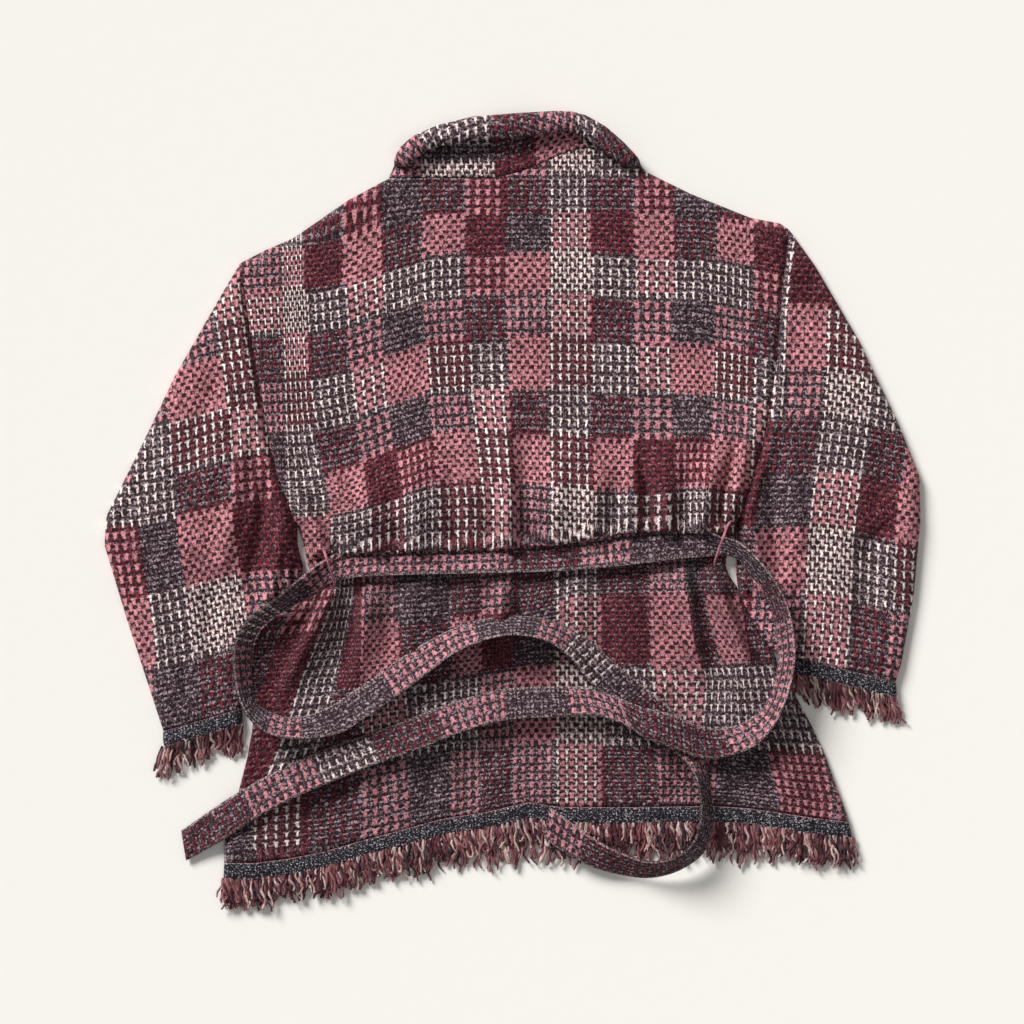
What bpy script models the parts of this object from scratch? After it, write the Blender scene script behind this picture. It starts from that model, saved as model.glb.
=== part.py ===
"""Tweed jacket laid flat on its front, back upwards: each cut piece a closed wall of cloth.

Layout tables are in millimetres on the laying sheet: across from the sheet's left edge
and down from its top edge. Heights are millimetres above the sheet. The wearer's left is
on the sheet's left. The finished model is in metres, with its origin under the middle.
"""
import math
import random

import bmesh
import bpy
import numpy as np
from mathutils import Vector

MM = 0.001
LAY_MIDDLE = (514.0, 513.33)     # middle of the laid jacket on the sheet

WALL = 2.6                       # thickness of the tweed
SEAM = 0.5                       # gap between pieces, measured across or down the sheet
EQUATOR = 4.0                    # height of side seams and folded edges
SEAM_HALF = 0.22                 # half the upright gap between back and front at a side seam
UNDER_ROUND = 5.0                # width of the rounding below an edge
ROUND_MIN, ROUND_MAX = 5.0, 16.0
ROUND_SHARE = 1.2                # rounding width over an edge, as a share of the rise
EDGE_STEPS = (0.0, 1.0, 4.0, 9.0, 16.0)
UNDER_STEPS = (0.0, 1.2, 5.0)
BAND_WIDTH = 17.0                # hem and cuff bands
BACKING = 4.0                    # strip that the fringe is rooted in
BACKING_WALL = 2.0
FRINGE_REACH = 33.0
BELT_THICK = 3.0
BELT_CLEAR = 0.9
LOOP_THREAD = 1.3                # radius of a thread belt loop

# Edges of the laid jacket: across, down.
SHOULDER_LEFT = ((389, 178), (348, 200), (293, 238), (265, 250), (240, 263))
SHOULDER_RIGHT = ((645, 171), (692, 194), (752, 218), (780, 223), (789, 229))
SLEEVE_OUTER_LEFT = ((240, 263), (222, 293), (175, 375), (142, 444), (106, 516), (104, 545),
                     (126, 618), (159, 719), (163, 731))
SLEEVE_OUTER_RIGHT = ((789, 229), (815, 265), (859, 340), (898, 422), (920, 477), (921, 520),
                      (914, 596), (902, 662), (896, 682))
SLEEVE_INNER_LEFT = ((297, 527), (297.5, 545), (300, 564), (292, 588), (272, 606), (256, 628),
                     (248, 655), (243, 690), (240, 708))
SLEEVE_INNER_RIGHT = ((738, 522), (737.5, 545), (737.2, 575), (738.5, 588), (744.5, 604),
                      (753, 622), (764, 639), (777, 650), (790, 655))
SIDE_LEFT = ((297, 527), (305, 545), (308, 560), (313, 571), (318, 580), (312, 590), (297, 602),
             (284, 614), (273, 628), (264, 645), (258, 668), (255, 700), (252, 730), (247, 758),
             (238, 793), (225, 840), (223, 881))
SIDE_RIGHT = ((738, 522), (732, 530), (727, 541), (724, 556), (725, 570), (731, 580), (735, 588),
              (743, 604), (751.5, 622), (761, 639), (770, 655), (780, 672), (794, 692), (813, 728),
              (824, 752), (837, 788), (848, 818), (853, 840))
NECK_BACK = ((389, 178), (450, 178), (495, 178), (520, 172), (545, 162), (565, 153), (585, 147),
             (605, 152), (625, 161), (645, 171))
NECK_FRONT = ((389, 178), (412, 200), (440, 222), (478, 240), (516, 246), (555, 240), (592, 218),
              (622, 194), (645, 171))
CENTRE_FRONT = 516.0

# Armhole seams: share of the way down to the waist row, across on the left and the right.
ARMHOLE = ((0.0, 240, 789), (0.23, 249.5, 781), (0.46, 260.5, 776), (0.71, 275.5, 763))
UNDERARM_LEFT = (297.0, 527.0)
UNDERARM_RIGHT = (738.0, 522.0)

# Lines along the belt: across, upper edge of the belt, lower edge of the belt.
WAIST = ((300, 565, 582), (337, 558, 578), (366, 557, 575), (428, 555, 573), (500, 553, 572),
         (560, 549, 571), (623, 538, 566), (675, 535, 560), (719, 541, 555), (735, 545, 555))
WAIST_DROP = 11.0                        # distance in which the blouse falls to the belt
WAIST_STEPS = ((0.0, -7.5), (0.0, -4.0), (0.0, 0.0), (1.0, 0.0))   # share of belt, offset
WAIST_LOW = 7.8                          # height of the back under the belt
SKIRT_RISE = 34.0                        # distance in which the skirt regains its height

# Hem: across, end of the back panel, end of the front panel.
HEM = ((216, 863, 864), (254, 863, 861), (287, 859, 857), (323, 852, 851), (364, 840, 842),
       (405, 829, 834), (441, 819, 828), (486, 812, 823), (528, 802, 821), (560, 807, 820),
       (637, 807, 820), (714, 806, 819), (747, 808, 819), (782, 813, 820), (815, 818, 821),
       (860, 823, 823))

# Cuff lines: outer corner, inner corner, and the way from the cuff to the fringe.
CUFF_LEFT = ((163, 731), (240, 708), (0.06, 0.998))
CUFF_RIGHT = ((896, 682), (790, 655), (0.02, 1.0))

# General height of the upper cloth: down, height.
HEIGHTS = ((100, 12.0), (264, 12.5), (400, 15.0), (520, 17.0), (600, 13.0), (700, 11.5),
           (760, 10.5), (830, 9.0), (900, 8.6))

# Folds and swellings: from (across, down) to (across, down), half width, height.
FOLDS = (
    (360, 505, 700, 490, 58, 8.5),       # blouse over the belt
    (512, 545, 503, 400, 13, 5.0),       # long soft ridge up the middle
    (486, 545, 478, 430, 10, -2.5),
    (560, 530, 575, 440, 20, 2.0),
    (634, 525, 622, 440, 10, -2.6),
    (664, 520, 655, 470, 9, 3.4),
    (686, 520, 700, 450, 9, -3.4),
    (708, 515, 728, 430, 11, 3.0),
    (335, 540, 300, 470, 10, -3.0),
    (352, 545, 325, 470, 9, 3.0),
    (430, 540, 420, 470, 16, 2.2),
    (345, 300, 520, 318, 16, 1.8),
    (400, 352, 520, 360, 14, -1.5),
    (240, 380, 190, 560, 26, 2.6),       # sleeves
    (165, 420, 130, 520, 16, -2.0),
    (820, 330, 850, 520, 28, 2.6),
    (880, 430, 880, 560, 14, -2.0),
    (283, 520, 262, 590, 12, -2.5),
    (760, 540, 790, 620, 12, -2.5),
    (318, 600, 282, 665, 13, 5.0),       # skirt
    (349, 592, 340, 660, 12, -6.0),
    (376, 596, 352, 690, 15, 3.6),
    (503, 588, 501, 618, 12, 3.0),
    (445, 640, 430, 800, 26, 1.6),
    (540, 650, 560, 800, 24, -1.4),
    (668, 580, 690, 640, 13, 4.4),
    (698, 585, 712, 690, 11, -5.5),
    (722, 600, 752, 690, 12, 4.6),
    (640, 700, 650, 800, 24, 1.6),
    (768, 760, 800, 820, 18, 1.8),
)

# Turned collar: place on the neck seam as a share from left to right, top of the roll
# (across, down), free edge of the turned part (across, down).
COLLAR_ROLL = ((0.0, 396, 158, 407, 167), (0.06, 402, 147, 413, 158), (0.12, 413, 137, 424, 149),
               (0.22, 437, 126, 442, 143), (0.35, 473, 117, 474, 138), (0.5, 517, 113.5, 517, 136),
               (0.65, 555, 111.5, 552, 130), (0.73, 571, 112, 570, 129), (0.8, 585, 115.5, 584, 134),
               (0.87, 605, 127, 598, 144), (0.94, 622, 142, 613, 155), (1.0, 639, 160, 628, 167))
# Section of the collar from seam to free edge: share of the way up the stand, share of the
# way from the roll to the free edge, height over the seam.
COLLAR_SECTION = ((0.0, 0, 0.0), (0.25, 0, -0.6), (0.52, 0, -0.9), (0.8, 0, -0.4), (0.93, 0, 0.8),
                  (1.0, 0.05, 3.2), (1.0, 0.03, 6.2), (1.0, 0.22, 9.4), (1.0, 0.6, 10.8),
                  (1.0, 1.0, 9.6))
COLLAR_FRONT_HEIGHT = 55.0

# Belt, one strip from tail to tail: across and down of its first edge, across and down of
# its second edge, height of the resting edge over what it lies on, rise of the first edge.
BELT = (
    (550, 807, 544, 838, 2, 1), (568, 819, 561, 850, 2, 2), (592, 836, 584, 863, 2, 7),
    (620, 850, 612, 872, 2, 16), (650, 859, 648, 877, 2, 24), (677, 853, 679, 869, 2, 25),
    (692, 838, 704, 850, 1, 24), (698, 815, 712, 822, 1, 25), (697, 791, 710, 796, 1, 24),
    (690, 770, 706, 772, 1, 20), (676, 754, 698, 740, 0, 8), (648, 731, 670, 708, 0, 2),
    (616, 705, 641, 684, 0, 3), (588, 681, 612, 661, 0, 11), (573, 662, 594, 645, 0, 19),
    (557, 648, 570, 629, 0, 24), (541, 640, 548, 621, 0, 26), (518, 636, 520, 617, 0, 27),
    (496, 638, 492, 619, 0, 27), (474, 645, 466, 625, 0, 26), (452, 656, 440, 636, 0, 24),
    (428, 674, 413, 651, 0, 19), (397, 697, 380, 674, 0, 16), (369, 716, 354, 691, 0, 15),
    (339, 734, 328, 708, 0, 15), (302, 739, 301, 718, 0, 22), (272, 735, 277, 716, 0, 26),
    (250, 719, 260, 703, 0, 26), (237, 694, 259, 688, 0, 22), (233, 660, 260, 660, 0, 19),
    (237, 634, 263, 640, 0, 18), (254, 613, 275, 622, 0, 20), (281, 593, 296, 606, 0, 22),
    (303, 574, 318, 592, 0, 17), (322, 560, 328, 582, 0, 12),
    (340, 559, 342, 580, 0, 2), (366, 559, 366, 578, 0, 0), (428, 557, 428, 577, 0, 0),
    (500, 555, 500, 576, 0, 0), (560, 551, 561, 574, 0, 0), (623, 540, 625, 569, 0, 0),
    (675, 537, 677, 563, 0, 0), (702, 538, 703, 560, 0, 1),
    (722, 535, 722, 556, 0, 6), (740, 541, 736, 560, 0, 14), (757, 556, 745, 573, 0, 19),
    (774, 577, 758, 592, 0, 21), (787, 602, 768, 617, 0, 20), (794, 632, 772, 643, 0, 20),
    (795, 662, 771, 668, 0, 20), (788, 695, 764, 694, 0, 21), (775, 724, 753, 712, 0, 20),
    (757, 744, 737, 723, 1, 16), (733, 755, 718, 729, 4, 10), (703, 758, 698, 726, 12, 4),
    (672, 747, 672, 714, 16, 0), (645, 738, 641, 706, 13, 3), (622, 724, 612, 695, 8, 9),
    (592, 715, 585, 688, 3, 14), (553, 717, 550, 687, 1, 13), (508, 720, 507, 689, 1, 12),
    (483, 726, 475, 696, 1, 12), (452, 736, 441, 707, 1, 12), (417, 750, 405, 721, 1, 12),
    (382, 762, 369, 734, 1, 12), (337, 780, 325, 749, 1, 8), (297, 797, 283, 768, 1, 8),
    (257, 818, 244, 789, 1, 6), (222, 841, 210, 811, 2, 3), (186, 861, 181, 831, 1, 1),
)
BELT_STEPS = 80
BELT_ACROSS = (0.0, 0.33, 0.67, 1.0)

# Thread loops over the belt: across, down, height.
LOOP_LEFT = ((323.5, 548, 14), (325, 552, 23), (328, 561, 29), (331.5, 571, 25), (334, 580, 19),
             (335, 586, 12.5))
LOOP_RIGHT = ((731, 520, 13), (727, 526, 22), (723, 536, 30), (719, 547, 27), (716, 557, 20),
              (714.5, 563, 13))

# Fringe: strands in each node.
STRANDS_BACK = 84
STRANDS_FRONT = 26
STRANDS_CUFF = 27
STRAND_ROOT = 0.52               # share of the pitch that a strand's root takes
STRAND_TIP = 0.45                # width of a strand's tip over its root

TWEED = ((0.235, 0.125, 0.145), 0.95)
BAND = ((0.045, 0.045, 0.065), 0.95)
YARN = ((0.30, 0.16, 0.17), 0.95)
THREAD = ((0.55, 0.22, 0.25), 0.8)


# ---------------------------------------------------------------- plan geometry

def plan(rows):
    """Table rows as an array of numbers."""
    return np.array(rows, dtype=float)


def along(rows, count):
    """Points spread evenly along a line through the rows."""
    rows = plan(rows)
    steps = np.linalg.norm(np.diff(rows, axis=0), axis=1)
    reach = np.concatenate([[0.0], np.cumsum(steps)])
    where = np.linspace(0.0, reach[-1], count)
    return np.stack([np.interp(where, reach, rows[:, k]) for k in range(rows.shape[1])], axis=1)


def smooth_line(rows, count):
    """Points on a smooth curve through the rows, spread evenly along it."""
    rows = plan(rows)
    ends = np.vstack([2 * rows[0] - rows[1], rows, 2 * rows[-1] - rows[-2]])
    fine = []
    for k in range(1, len(ends) - 2):
        p0, p1, p2, p3 = ends[k - 1:k + 3]
        for t in np.linspace(0.0, 1.0, 12, endpoint=False):
            fine.append(0.5 * (2 * p1 + (p2 - p0) * t + (2 * p0 - 5 * p1 + 4 * p2 - p3) * t ** 2
                               + (3 * p1 - p0 - 3 * p2 + p3) * t ** 3))
    fine.append(ends[-2])
    return along(fine, count)


def across_at(rows, down):
    """Where an edge that runs down the sheet is, at a given distance down."""
    rows = plan(rows)
    return np.interp(down, rows[:, 1], rows[:, 0])


def column(rows, across, index):
    """A value from a table whose first column is the distance across."""
    rows = plan(rows)
    return np.interp(across, rows[:, 0], rows[:, index])


def distance_to(points, rows):
    """Distance in plan from each point to a line through the rows."""
    rows = plan(rows)
    best = np.full(points.shape[:-1], 1e9)
    for start, end in zip(rows[:-1], rows[1:]):
        way = end - start
        share = np.clip(((points - start) @ way) / (way @ way), 0.0, 1.0)
        gap = np.linalg.norm(points - start - share[..., None] * way, axis=-1)
        best = np.minimum(best, gap)
    return best


def inside(points, outline):
    """Whether each point lies inside a closed outline."""
    outline = plan(outline)
    hits = np.zeros(points.shape[:-1], dtype=bool)
    for (ax, ay), (bx, by) in zip(outline, np.roll(outline, -1, axis=0)):
        if ay == by:
            continue
        crosses = (ay > points[..., 1]) != (by > points[..., 1])
        where = ax + (points[..., 1] - ay) * (bx - ax) / (by - ay)
        hits ^= crosses & (points[..., 0] < where)
    return hits


CLOSED_EDGES = (
    SHOULDER_LEFT + SLEEVE_OUTER_LEFT[1:], SHOULDER_RIGHT + SLEEVE_OUTER_RIGHT[1:],
    SLEEVE_INNER_LEFT, SLEEVE_INNER_RIGHT, SIDE_LEFT, SIDE_RIGHT,
)


def edge_distance(points):
    """Distance in plan to the nearest folded edge or side seam."""
    return np.min([distance_to(points, rows) for rows in CLOSED_EDGES], axis=0)


def soft(share):
    """Smooth step from 0 to 1."""
    share = np.clip(share, 0.0, 1.0)
    return share * share * (3 - 2 * share)


def cloth_height(points):
    """Full height of the upper cloth, before it rounds down to an edge."""
    across, down = points[..., 0], points[..., 1]
    rows = plan(HEIGHTS)
    height = np.interp(down, rows[:, 0], rows[:, 1])
    for a0, d0, a1, d1, half, rise in FOLDS:
        gap = distance_to(points, ((a0, d0), (a1, d1)))
        height = height + rise * np.exp(-(gap / half) ** 2)
    upper = column(WAIST, across, 1)
    lower = column(WAIST, across, 2)
    in_body = (across > 290) & (across < 742)
    drop = soft((down - upper + WAIST_DROP) / WAIST_DROP)
    rise = soft((down - lower - 1) / SKIRT_RISE)
    waist = WAIST_LOW + (height - WAIST_LOW) * np.maximum(1 - drop, rise)
    height = np.where(in_body, waist, height)
    return np.maximum(height, WAIST_LOW - 1.0)


def rounded(distance, rise):
    """Height gained at a distance from a rounded edge."""
    width = np.clip(ROUND_SHARE * rise, ROUND_MIN, ROUND_MAX)
    share = np.clip(distance / width, 0.0, 1.0)
    return rise * np.sqrt(1 - (1 - share) ** 2)


def upper_height(points):
    """Height of the upper layer's outside."""
    rise = cloth_height(points) - EQUATOR
    return EQUATOR + rounded(edge_distance(points), rise)


def under_height(points):
    """Height of the lower layer's outside, flat on the sheet but for its rounded edges."""
    share = np.clip(edge_distance(points) / UNDER_ROUND, 0.0, 1.0)
    return EQUATOR * (1 - np.sqrt(1 - (1 - share) ** 2))


# ---------------------------------------------------------------- walls of cloth

def lay(points):
    """Sheet millimetres to metres in the model's frame."""
    points = np.asarray(points, dtype=float)
    out = np.empty_like(points)
    out[..., 0] = (points[..., 0] - LAY_MIDDLE[0]) * MM
    out[..., 1] = (LAY_MIDDLE[1] - points[..., 1]) * MM
    out[..., 2] = points[..., 2] * MM
    return out


def facing(grid, around=False):
    """Unit normals of a grid of sections, in sheet axes; around closes each section."""
    def change(values, axis, wrap):
        if wrap:
            return np.roll(values, -1, axis=axis) - np.roll(values, 1, axis=axis)
        return np.gradient(values, axis=axis)
    normal = np.cross(change(grid, 0, False), change(grid, 1, around))
    length = np.linalg.norm(normal, axis=-1, keepdims=True)
    return normal / np.maximum(length, 1e-9)


def without(normal, direction):
    """Normals with their share along a direction taken out."""
    direction = np.asarray(direction, dtype=float)
    direction = direction / np.linalg.norm(direction)
    flat = normal - (normal @ direction)[..., None] * direction
    return flat / np.maximum(np.linalg.norm(flat, axis=-1, keepdims=True), 1e-9)


def grid_mesh(outer, inner, around=False):
    """A closed wall between two matching grids, its sections bridged and its rims filled."""
    rows, columns = outer.shape[:2]
    work = bmesh.new()
    station = work.verts.layers.int.new("station")
    spans = columns if around else columns - 1
    bmesh.ops.create_grid(work, x_segments=spans, y_segments=rows - 1, size=1.0)
    for vert in work.verts:
        across = round((vert.co.x + 1) / 2 * spans)
        along_rows = round((vert.co.y + 1) / 2 * (rows - 1))
        vert[station] = along_rows * (spans + 1) + across
        place = outer[along_rows, across % columns]
        vert.co = Vector(place)
    if around:
        bmesh.ops.remove_doubles(work, verts=work.verts[:], dist=1e-7)
    grown = bmesh.ops.extrude_face_region(work, geom=work.faces[:])
    for vert in grown["geom"]:
        if isinstance(vert, bmesh.types.BMVert):
            along_rows, across = divmod(vert[station], spans + 1)
            vert.co = Vector(inner[along_rows, across % columns])
    bmesh.ops.recalc_face_normals(work, faces=work.faces[:])
    return work


def surface(name, colour, roughness):
    """A plain cloth material."""
    material = bpy.data.materials.new(name)
    material.use_nodes = True
    shader = material.node_tree.nodes["Principled BSDF"]
    shader.inputs["Base Color"].default_value = (*colour, 1.0)
    shader.inputs["Roughness"].default_value = roughness
    shader.inputs["Metallic"].default_value = 0.0
    material.diffuse_color = (*colour, 1.0)
    return material


def piece(name, work, look, parent):
    """Turn a finished mesh into a named object standing at its own middle."""
    mesh = bpy.data.meshes.new(name)
    spots = np.array([vert.co for vert in work.verts])
    middle = Vector((spots.min(axis=0) + spots.max(axis=0)) / 2)
    bmesh.ops.translate(work, verts=work.verts[:], vec=-middle)
    work.to_mesh(mesh)
    work.free()
    mesh.shade_smooth()
    mesh.set_sharp_from_angle(angle=math.radians(50))
    mesh.materials.append(surface(name + "_cloth", *look))
    obj = bpy.data.objects.new(name, mesh)
    obj.location = middle
    obj.parent = parent
    bpy.context.scene.collection.objects.link(obj)
    return obj


def wall(name, grid, normals, look, parent, thickness=WALL, around=False, inner_span=(-1, 99)):
    """A piece of cloth: outer grid, and the same grid moved in along the normals."""
    inner = grid - thickness * normals
    inner[..., 2] = np.clip(inner[..., 2], *inner_span)
    work = grid_mesh(lay(grid), lay(inner), around)
    return piece(name, work, look, parent)


# ---------------------------------------------------------------- body

def waist_line(across, share):
    """Down the sheet at a share of the belt's visible width."""
    upper = column(WAIST, across, 1)
    lower = column(WAIST, across, 2)
    return upper + (lower - upper) * share


def upper_row_downs(share):
    """Both side edges at a share of the way from shoulder to waist row."""
    left_end = waist_line(306.0, 0.0) - WAIST_DROP
    right_end = waist_line(726.0, 0.0) - WAIST_DROP
    return 263 + (left_end - 263) * share, 229 + (right_end - 229) * share


def body_edges(share):
    """Across and down of the body's two edges above the waist row."""
    left_down, right_down = upper_row_downs(share)
    corner_left = (UNDERARM_LEFT[1] - 263) / (upper_row_downs(1.0)[0] - 263)
    corner_right = (UNDERARM_RIGHT[1] - 229) / (upper_row_downs(1.0)[1] - 229)
    arm = plan(ARMHOLE)
    if share <= corner_left:
        left = np.interp(share, [*arm[:, 0], corner_left], [*arm[:, 1], UNDERARM_LEFT[0]])
    else:
        left = across_at(SIDE_LEFT, left_down)
    if share <= corner_right:
        right = np.interp(share, [*arm[:, 0], corner_right], [*arm[:, 2], UNDERARM_RIGHT[0]])
    else:
        right = across_at(SIDE_RIGHT, right_down)
    return (left, left_down), (right, right_down), share <= corner_left, share <= corner_right


def corner_shares():
    """Shares at which the armholes end, left and right."""
    left = (UNDERARM_LEFT[1] - 263) / (upper_row_downs(1.0)[0] - 263)
    right = (UNDERARM_RIGHT[1] - 229) / (upper_row_downs(1.0)[1] - 229)
    return left, right


SHOULDER_TOP = tuple(reversed(SHOULDER_LEFT)) + NECK_BACK[1:-1] + SHOULDER_RIGHT
NECK_SHARES = ((389 - 240) / 549, (645 - 240) / 549)
BODY_COLUMNS = (0.06, 0.1, 0.145, 0.19, 0.23, NECK_SHARES[0], 0.311, 0.35, 0.39, 0.43, 0.466, 0.5,
                0.53, 0.556, 0.592, 0.628, 0.665, 0.7, NECK_SHARES[1], 0.78, 0.82, 0.86, 0.9, 0.94)
UPPER_ROWS = (0.11, 0.23, 0.34, 0.46, 0.58, 0.71, 0.79, 0.87)
SKIRT_ROWS = (0.03, 0.075, 0.13, 0.2, 0.28, 0.37, 0.47, 0.6, 0.74, 0.88, 1.0)


def spread(width, shares, steps):
    """Distances across a row: close together near both edges, then at the given shares."""
    near = list(steps)
    middle = [share * width for share in shares]
    far = [width - step for step in reversed(steps)]
    return np.array(near + middle + far)


def between(left, right, shares, steps):
    """A row's distances across, from its left edge to its right edge."""
    return left + spread(right - left, shares, steps)


def back_grid():
    """Outer points of the back, from the shoulders to the hem, and its armhole flags."""
    top = between(240.0, 789.0, BODY_COLUMNS, EDGE_STEPS)
    top_down = np.interp(top, plan(SHOULDER_TOP)[:, 0], plan(SHOULDER_TOP)[:, 1])
    corner_left, corner_right = corner_shares()
    near_top = [step / 300.0 for step in EDGE_STEPS]
    shares = sorted(near_top + list(UPPER_ROWS) + [corner_left, corner_right, 1.0])
    rows, flags = [], []
    for share in shares:
        (left, left_down), (right, right_down), at_left, at_right = body_edges(share)
        across = between(left, right, BODY_COLUMNS, EDGE_STEPS)
        end_down = waist_line(across, 0.0) - WAIST_DROP
        down = top_down + (end_down - top_down) * share
        down[0], down[-1] = left_down, right_down
        rows.append(np.stack([across, down], axis=1))
        flags.append((at_left, at_right))
    for share, offset in WAIST_STEPS:
        rows.append(body_row(lambda across: waist_line(across, share) + offset))
        flags.append((False, False))
    for share in SKIRT_ROWS:
        rows.append(body_row(lambda across: skirt_down(across, share, 1)))
        flags.append((False, False))
    return np.array(rows), np.array(flags)


def skirt_down(across, share, panel):
    """Down the sheet at a share of the way from the belt to the hem (1 back, 2 front)."""
    start = waist_line(across, 1.0)
    end = column(HEM, across, panel) - SEAM / 2
    return start + (end - start) * share


def body_row(down_at, shares=BODY_COLUMNS, steps=EDGE_STEPS):
    """A row below the underarms whose ends lie on both side seams."""
    left_down = settle(SIDE_LEFT, down_at)
    right_down = settle(SIDE_RIGHT, down_at)
    across = between(across_at(SIDE_LEFT, left_down), across_at(SIDE_RIGHT, right_down),
                     shares, steps)
    return np.stack([across, down_at(across)], axis=1)


def settle(side, down_at):
    """Where a row that follows down_at meets a side seam."""
    down = float(down_at(plan(side)[len(side) // 2, 0]))
    for _ in range(30):
        down = 0.5 * down + 0.5 * float(down_at(across_at(side, down)))
    return down


def build_back(parent):
    """The back panel, its edges down at the side seams and level with the armholes."""
    flat, flags = back_grid()
    grid = np.dstack([flat, upper_height(flat)])
    grid[..., 2] = np.maximum(grid[..., 2], EQUATOR + SEAM_HALF)
    normals = facing(grid)
    normals = np.where(normals[..., 2:3] < 0, -normals, normals)
    first, last = 0, grid.shape[1] - 1
    for row, (at_left, at_right) in enumerate(flags):
        for edge, at_seam, way in ((first, at_left, 1), (last, at_right, -1)):
            if at_seam and row > 0:
                at_corner = not flags[row + 1][0 if way > 0 else 1]
                tilted = without(normals[row, edge], (1, 0, 0))
                normals[row, edge] = (0, 1, 0) if at_corner else tilted
                grid[row, edge, 0] += way * SEAM / 2
            else:
                normals[row, edge] = without(normals[row, edge], (0, 0, 1))
    top = grid[0, :, 0]
    neck = (top > 389.5) & (top < 644.5)
    for index, on_neck in enumerate(neck):
        direction = (0, 1, 0) if on_neck else (0, 0, 1)
        normals[0, index] = without(normals[0, index], direction)
        if on_neck:
            grid[0, index, 1] += SEAM / 2
    normals[-1] = without(normals[-1], (0, 1, 0))
    for corner in (first, last):
        normals[0, corner] = without(normals[0, corner], (0, 0, 1))
        normals[-1, corner] = without(normals[-1, corner], (0, 0, 1))
    wall("back", grid, normals, TWEED, parent, inner_span=(EQUATOR + SEAM_HALF, 99))
    return grid, normals, neck


FRONT_COLUMNS = (0.16, 0.34, 0.52, 0.7, 0.86)
FRONT_EDGE = (0.0, 1.2, 5.0)


def front_grid(side):
    """Lower points of one front, from its centre edge to its side edge."""
    corner = corner_shares()[side]
    shares = sorted([0.0, 0.006, 0.02, *UPPER_ROWS, corner, 1.0])
    rows, flags = [], []
    centre = CENTRE_FRONT + (SEAM / 2 if side else -SEAM / 2)
    neck_end = plan(NECK_FRONT)[-1 if side else 0]
    outer_top = 789.0 if side else 240.0
    for share in shares:
        edges = body_edges(share)
        edge = edges[side]
        across = front_across(centre, edge[0], share, neck_end[0], outer_top)
        start = front_across(centre, outer_top, 0.0, neck_end[0], outer_top)
        start_down = front_top(start)
        end_down = waist_line(across, 0.0) - WAIST_DROP
        down = start_down + (end_down - start_down) * share
        down[-1] = edge[1]
        rows.append(np.stack([across, down], axis=1))
        flags.append(share <= corner)
    for share, offset in WAIST_STEPS:
        rows.append(front_row(side, centre, lambda across: waist_line(across, share) + offset))
        flags.append(False)
    for share in SKIRT_ROWS:
        rows.append(front_row(side, centre, lambda across: skirt_down(across, share, 2)))
        flags.append(False)
    return np.array(rows), flags


def front_across(centre, edge, share, neck_corner, outer_top):
    """Places across one row of a front; the neck corner keeps a place of its own."""
    width = edge - centre
    corner_share = (neck_corner - centre) / (outer_top - centre)
    shares = sorted([0.16, 0.32, 0.42, corner_share - 0.02, corner_share, 0.68, 0.84])
    near_edge = [1 - step / abs(width) for step in reversed(FRONT_EDGE)]
    return centre + width * np.array([0.0] + shares + near_edge)


def front_top(across):
    """Upper edge of the fronts: the neckline between the neck corners, then the shoulders."""
    rows = plan(tuple(reversed(SHOULDER_LEFT)) + NECK_FRONT[1:-1] + SHOULDER_RIGHT)
    return np.interp(across, rows[:, 0], rows[:, 1])


def front_row(side, centre, down_at):
    """A row of a front below the underarm."""
    seam = SIDE_RIGHT if side else SIDE_LEFT
    edge = across_at(seam, settle(seam, down_at))
    neck_corner = 645.0 if side else 389.0
    across = front_across(centre, edge, 1.0, neck_corner, 789.0 if side else 240.0)
    return np.stack([across, down_at(across)], axis=1)


def build_front(name, side, parent):
    """One front, flat on the sheet, its side edge turned up to the side seam."""
    flat, flags = front_grid(side)
    grid = np.dstack([flat, np.minimum(under_height(flat), EQUATOR - SEAM_HALF)])
    normals = facing(grid)
    normals = np.where(normals[..., 2:3] > 0, -normals, normals)
    normals[:, 0] = without(normals[:, 0], (1, 0, 0))
    for row, at_armhole in enumerate(flags):
        if at_armhole and row > 0:
            tilted = without(normals[row, -1], (1, 0, 0))
            normals[row, -1] = tilted if flags[row + 1] else (0, 1, 0)
            grid[row, -1, 0] += -SEAM / 2 if side else SEAM / 2
        else:
            normals[row, -1] = without(normals[row, -1], (0, 0, 1))
    top = grid[0, :, 0]
    for index, across in enumerate(top):
        on_neck = 389.5 < across < 644.5
        normals[0, index] = without(normals[0, index], (0, 1, 0) if on_neck else (0, 0, 1))
        if on_neck:
            grid[0, index, 1] += SEAM / 2
    normals[-1] = without(normals[-1], (0, 1, 0))
    normals[-1, -1] = without(normals[-1, -1], (0, 0, 1))
    wall(name, grid, normals, TWEED, parent, inner_span=(-1, EQUATOR - SEAM_HALF))
    return grid, normals


# ---------------------------------------------------------------- sleeves and cuffs

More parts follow.
